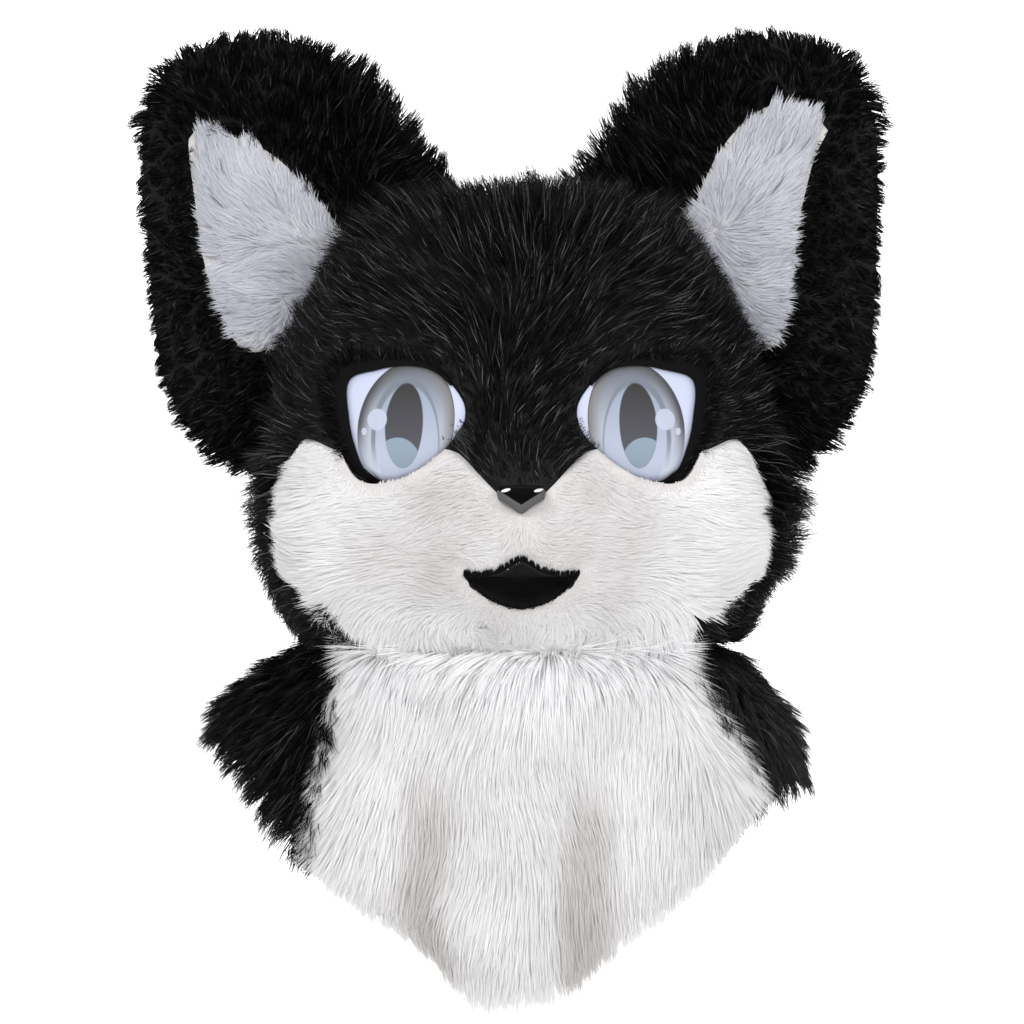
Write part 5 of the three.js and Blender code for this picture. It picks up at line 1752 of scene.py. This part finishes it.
def nose_piece():
    """Rings of the outline, each as a share of it and as a depth from the back to the front."""
    middle = np.array([0, CROWN - NOSE_BELOW])
    profile = [(0.97, 0), (1, 0.15), (1, 0.62), (0.96, 0.8), (0.84, 0.92), (0.55, 0.985), (0.25, 1)]
    rings = []
    for size, forward in profile:
        flat = middle + (NOSE - middle) * size
        depth = np.full(len(flat), mix(NOSE_BACK, NOSE_FRONT, forward))
        rings.append(np.stack([flat[:, 0], depth, flat[:, 1]], -1))
    points = np.stack(rings)
    rows, columns = points.shape[:2]
    faces = grid_faces(rows, columns, closed=True)
    faces += [tuple(range(columns)), tuple((rows - 1) * columns + k for k in reversed(range(columns)))]
    nose = mesh_object("nose_piece", points, faces)
    outwards(nose)
    chart = nose.data.uv_layers.new(name="nose")
    for loop in nose.data.loops:
        x, _, z = nose.data.vertices[loop.vertex_index].co / MM
        chart.data[loop.index].uv = (x / NOSE_CHART + 0.5, (z - middle[1]) / NOSE_CHART + 0.5)
    return smooth_faces(nose)


print("the nose is", NOSE_BACK - NOSE_FRONT, "mm deep")

# %% [markdown]
# ## The nose's finish
# The cast nose is a dull black with a grey band along its V, and at each side a white glint, a
# painted reflection of light. The band is drawn from the distance to the V's edge, and the glints are
# ellipses as on the eye.

# %% The nose's finish
def nose_finish():
    """Black, with a grey band along the V and a painted reflection, a white glint, at each side."""
    material, bench, shader = new_material("nose")
    chart = bench.add("ShaderNodeUVMap", {"uv_map": "nose"})
    apart = bench.add("ShaderNodeSeparateXYZ", {}, {0: chart})
    x, z = (apart - 0.5) * NOSE_CHART, (bench.more(apart, "Y") - 0.5) * NOSE_CHART
    aside = (x * x) ** 0.5
    from_edge = (z + 8.6) * 0.78 - aside * 0.63
    band = ((4.2 - aside * 0.14 - from_edge) * 2.5).clamped()
    grain = bench.add("ShaderNodeTexNoise", {}, {"Vector": chart, "Scale": 60.0, "Detail": 3.0})
    grey = bench.blend(grain, paint(62, 62, 64), paint(112, 112, 114))
    colour = bench.blend(band, paint(1, 1, 2), grey)
    # each glint is a painted reflection of light on the nose's shoulders
    for spot, lean in (((-8.7, 4.7), 0.27), ((9.8, 4.7), 0.22)):
        glint = within(ring_size(x, z, spot, (2.7, 0.85), lean), 0.15)
        colour = bench.blend(glint, colour, paint(225, 225, 220))
    bench.plug(shader.inputs["Base Color"], colour)
    shader.inputs["Roughness"].default_value = 0.5
    shader.inputs["Specular IOR Level"].default_value = 0.06
    return material


nose = nose_piece()
nose.data.materials.append(nose_finish())
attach(nose, "root")
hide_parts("nose")
print("nose", len(nose.data.polygons), "faces")

# %% [markdown]
# ## Mouth
# The mouth is a pocket of black short-piled cloth, sewn into a hole in the white fur. Its rim follows
# the curve of the muzzle, so the depth of the head's surface is looked up at every point of it. The
# first ring is a narrow flange in front of the white cloth, which hides the edge where that was cut.

# %% Mouth
MOUTH_CLOTH, FLANGE, FLANGE_STAND = 1.5, 0.6, 0.4
# share of the outline's size, depth behind the rim
MOUTH_PROFILE = [(0.995, 0.5), (0.97, 2.2), (0.93, 6), (0.82, 12), (0.6, 16.5), (0.3, 18)]


def muzzle_depth(flat):
    """How far forward the head's surface lies at places (x, z) of the muzzle."""
    turn, arc = np.meshgrid(np.linspace(-45, 45, 181), np.linspace(0.7, 1, 121))
    skin = head_place(turn, arc).reshape(-1, 3)
    gaps = ((skin[:, None, [0, 2]] - flat[None]) ** 2).sum(-1)
    return skin[gaps.argmin(0), 1]


def mouth_rings(middle):
    """Rings of the mouth's outline that draw in as they go back; the first is the flange."""
    rim = muzzle_depth(MOUTH) - UNDER - BACKING - FLANGE_STAND
    centre = np.array([0, middle])
    rings = [(grow(MOUTH, FLANGE), rim)]
    rings += [(centre + (MOUTH - centre) * size, rim + deep) for size, deep in MOUTH_PROFILE]
    return np.stack([np.stack([flat[:, 0], depth, flat[:, 1]], -1) for flat, depth in rings])


def mouth_cloth(rings):
    rows, columns = rings.shape[:2]
    floor = tuple((rows - 1) * columns + k for k in range(columns))
    faces = grid_faces(rows, columns, closed=True) + [floor]
    pocket = outwards(mesh_object("mouth_cloth", rings, faces))
    if pocket.data.polygons[-1].normal.y > 0:
        pocket.data.flip_normals()
    thick = pocket.modifiers.new("thick", "SOLIDIFY")
    thick.thickness, thick.offset = MOUTH_CLOTH * MM, -1
    freeze(pocket)
    pocket.data.materials.append(BLACK_KNIT)
    return smooth_faces(pocket)


mouth_middle = MOUTH[:, 1].mean()
rings = mouth_rings(mouth_middle)
pocket = mouth_cloth(rings)
print("mouth pocket", len(pocket.data.polygons), "faces")

# %% [markdown]
# ## Hairs round the mouth
# The black cloth's own pile stands over the rim, longer at the upper lip than below, and combed up. It
# gives the mouth its frayed upper edge.

# %% Hairs round the mouth
# the hairs of the lips are rooted this many millimetres in front of the cloth
LIPS_PROUD = 3.4


def lip_hairs(rings):
    base = rings[:3] - (0, LIPS_PROUD, 0)
    facing = np.broadcast_to(np.array([0.0, -1, 0]), base.shape)
    way = unit(rings[:1] - (0, 0, mouth_middle))
    way = unit(np.stack([0.35 * way[..., 0], 0 * way[..., 1], np.abs(way[..., 2]) + 0.4], -1))
    upper = step(MOUTH[:, 1] - mouth_middle, -4, 4)
    pile = scalp(
        "mouth_pile", base, grid_faces(*base.shape[:2], closed=True), out=facing,
        comb=laid(way, facing, 0.75), length=mix(2.2, 4.6, upper) * MM, tone=0 * upper, room=1 + 0 * upper,
    )  # fmt: skip
    return grow_pile(pile, BLACK_PILE, Hairs=2500000.0, Locks=150000.0, Width=0.0008, Gather=0.6, Spring=0.3,
                     Stray=0.15, Roll=0.5, Softness=0.0, Tone_Spread=0.1, Rarity=12.0, Seed=101)  # fmt: skip


for part in (pocket, lip_hairs(rings)):
    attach(part, "root")
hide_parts("mouth_pocket")

# %% [markdown]
# ## Foam
# The head itself is carved from upholstery foam. It comes from the CAD frame with its true shape, and
# only its look is made here: a charcoal foam with open pores of about a millimetre, which are painted
# darker, as shade in them.

# %% Foam
def foam_finish():
    material, bench, shader = new_material("foam")
    place = bench.add("ShaderNodeTexCoord", out="Object")
    pores = bench.add("ShaderNodeTexVoronoi", {}, {"Vector": place, "Scale": 700.0})
    soft = bench.add("ShaderNodeTexNoise", {}, {"Vector": place, "Scale": 40.0, "Detail": 2.0})
    colour = bench.blend(soft, paint(40, 40, 43), paint(54, 54, 57))
    # painted shade in the pores
    pore_shade = (1 - pores * 2.2).clamped() * 0.6
    bench.plug(shader.inputs["Base Color"], bench.blend(pore_shade, colour, paint(16, 16, 18)))
    bump = bench.add("ShaderNodeBump", {}, {"Height": pores, "Strength": 0.5, "Distance": 0.0006})
    bench.plug(shader.inputs["Normal"], bump)
    shader.inputs["Roughness"].default_value = 0.95
    return material


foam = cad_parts["head_base"]
foam.data.materials.clear()
foam.data.materials.append(foam_finish())
print("foam base", [round(size * 1000) for size in foam.dimensions], "mm")

# %% [markdown]
# ## Stage and light
# A pale sheet that curves up into a wall has no corner to see. Two large soft lamps stand in front, the
# one on the left brighter, one hangs over the head, and one lights the wall so that it shows as white.

# %% Stage and light
ROOM_WIDE, FLOOR_AT, WALL_AT, BEND = 10000, -500, 4200, 1200


def backdrop():
    """A pale floor that curves up into a wall behind the head."""
    bend = np.radians(np.linspace(0, 90, 13))
    ys = [-4500, *(WALL_AT - BEND + BEND * np.sin(bend)), WALL_AT]
    zs = [FLOOR_AT, *(FLOOR_AT + BEND * (1 - np.cos(bend))), 4500]
    points = [(x, y, z) for y, z in zip(ys, zs) for x in (-ROOM_WIDE / 2, ROOM_WIDE / 2)]
    faces = [(2 * k, 2 * k + 1, 2 * k + 3, 2 * k + 2) for k in range(len(ys) - 1)]
    sweep = smooth_faces(mesh_object("floor", points, faces))
    material, _, shader = new_material("pale floor")
    shader.inputs["Base Color"].default_value = (0.93, 0.93, 0.93, 1)
    shader.inputs["Roughness"].default_value = 0.9
    sweep.data.materials.append(material)
    return sweep


def soft_light(name, place, aim, size, power):
    lamp = bpy.data.lights.new(name, "AREA")
    lamp.shape, lamp.size, lamp.size_y, lamp.energy = "RECTANGLE", size[0], size[1], power
    holder = bpy.data.objects.new(name, lamp)
    holder.location = place
    holder.rotation_euler = (Vector(aim) - Vector(place)).to_track_quat("-Z", "Y").to_euler()
    bpy.context.scene.collection.objects.link(holder)


# place and aim in metres, width and height in metres, power in watts
LAMPS = {
    "key": ((-1.3, -2.2, 1.4), (0, 0, -0.15), (1.4, 1.4), 40),
    "fill": ((1.5, -2.2, 0.8), (0, 0, -0.15), (1.4, 1.4), 28),
    "top": ((0, 0.3, 1.8), (0, 0, -0.1), (1.6, 1.2), 20),
    "wall": ((0, 2.5, 1.9), (0, 4.1, 0.0), (3.0, 1.0), 120),
}
backdrop()
for name, lamp in LAMPS.items():
    soft_light(name, *lamp)
world = bpy.data.worlds.new("studio")
world.use_nodes = True
light = world.node_tree.nodes["Background"].inputs
light[0].default_value, light[1].default_value = (1, 1, 1, 1), 0.45
bpy.context.scene.world = world
bpy.context.scene.view_settings.view_transform = "Standard"
print(len(LAMPS), "lamps with", sum(lamp[3] for lamp in LAMPS.values()), "watts")

# %% [markdown]
# ## Finish
# The single hair has done its work and goes. The fur may stand only a little further out than the
# solids that it dresses.

# %% Finish
discard(HAIR)
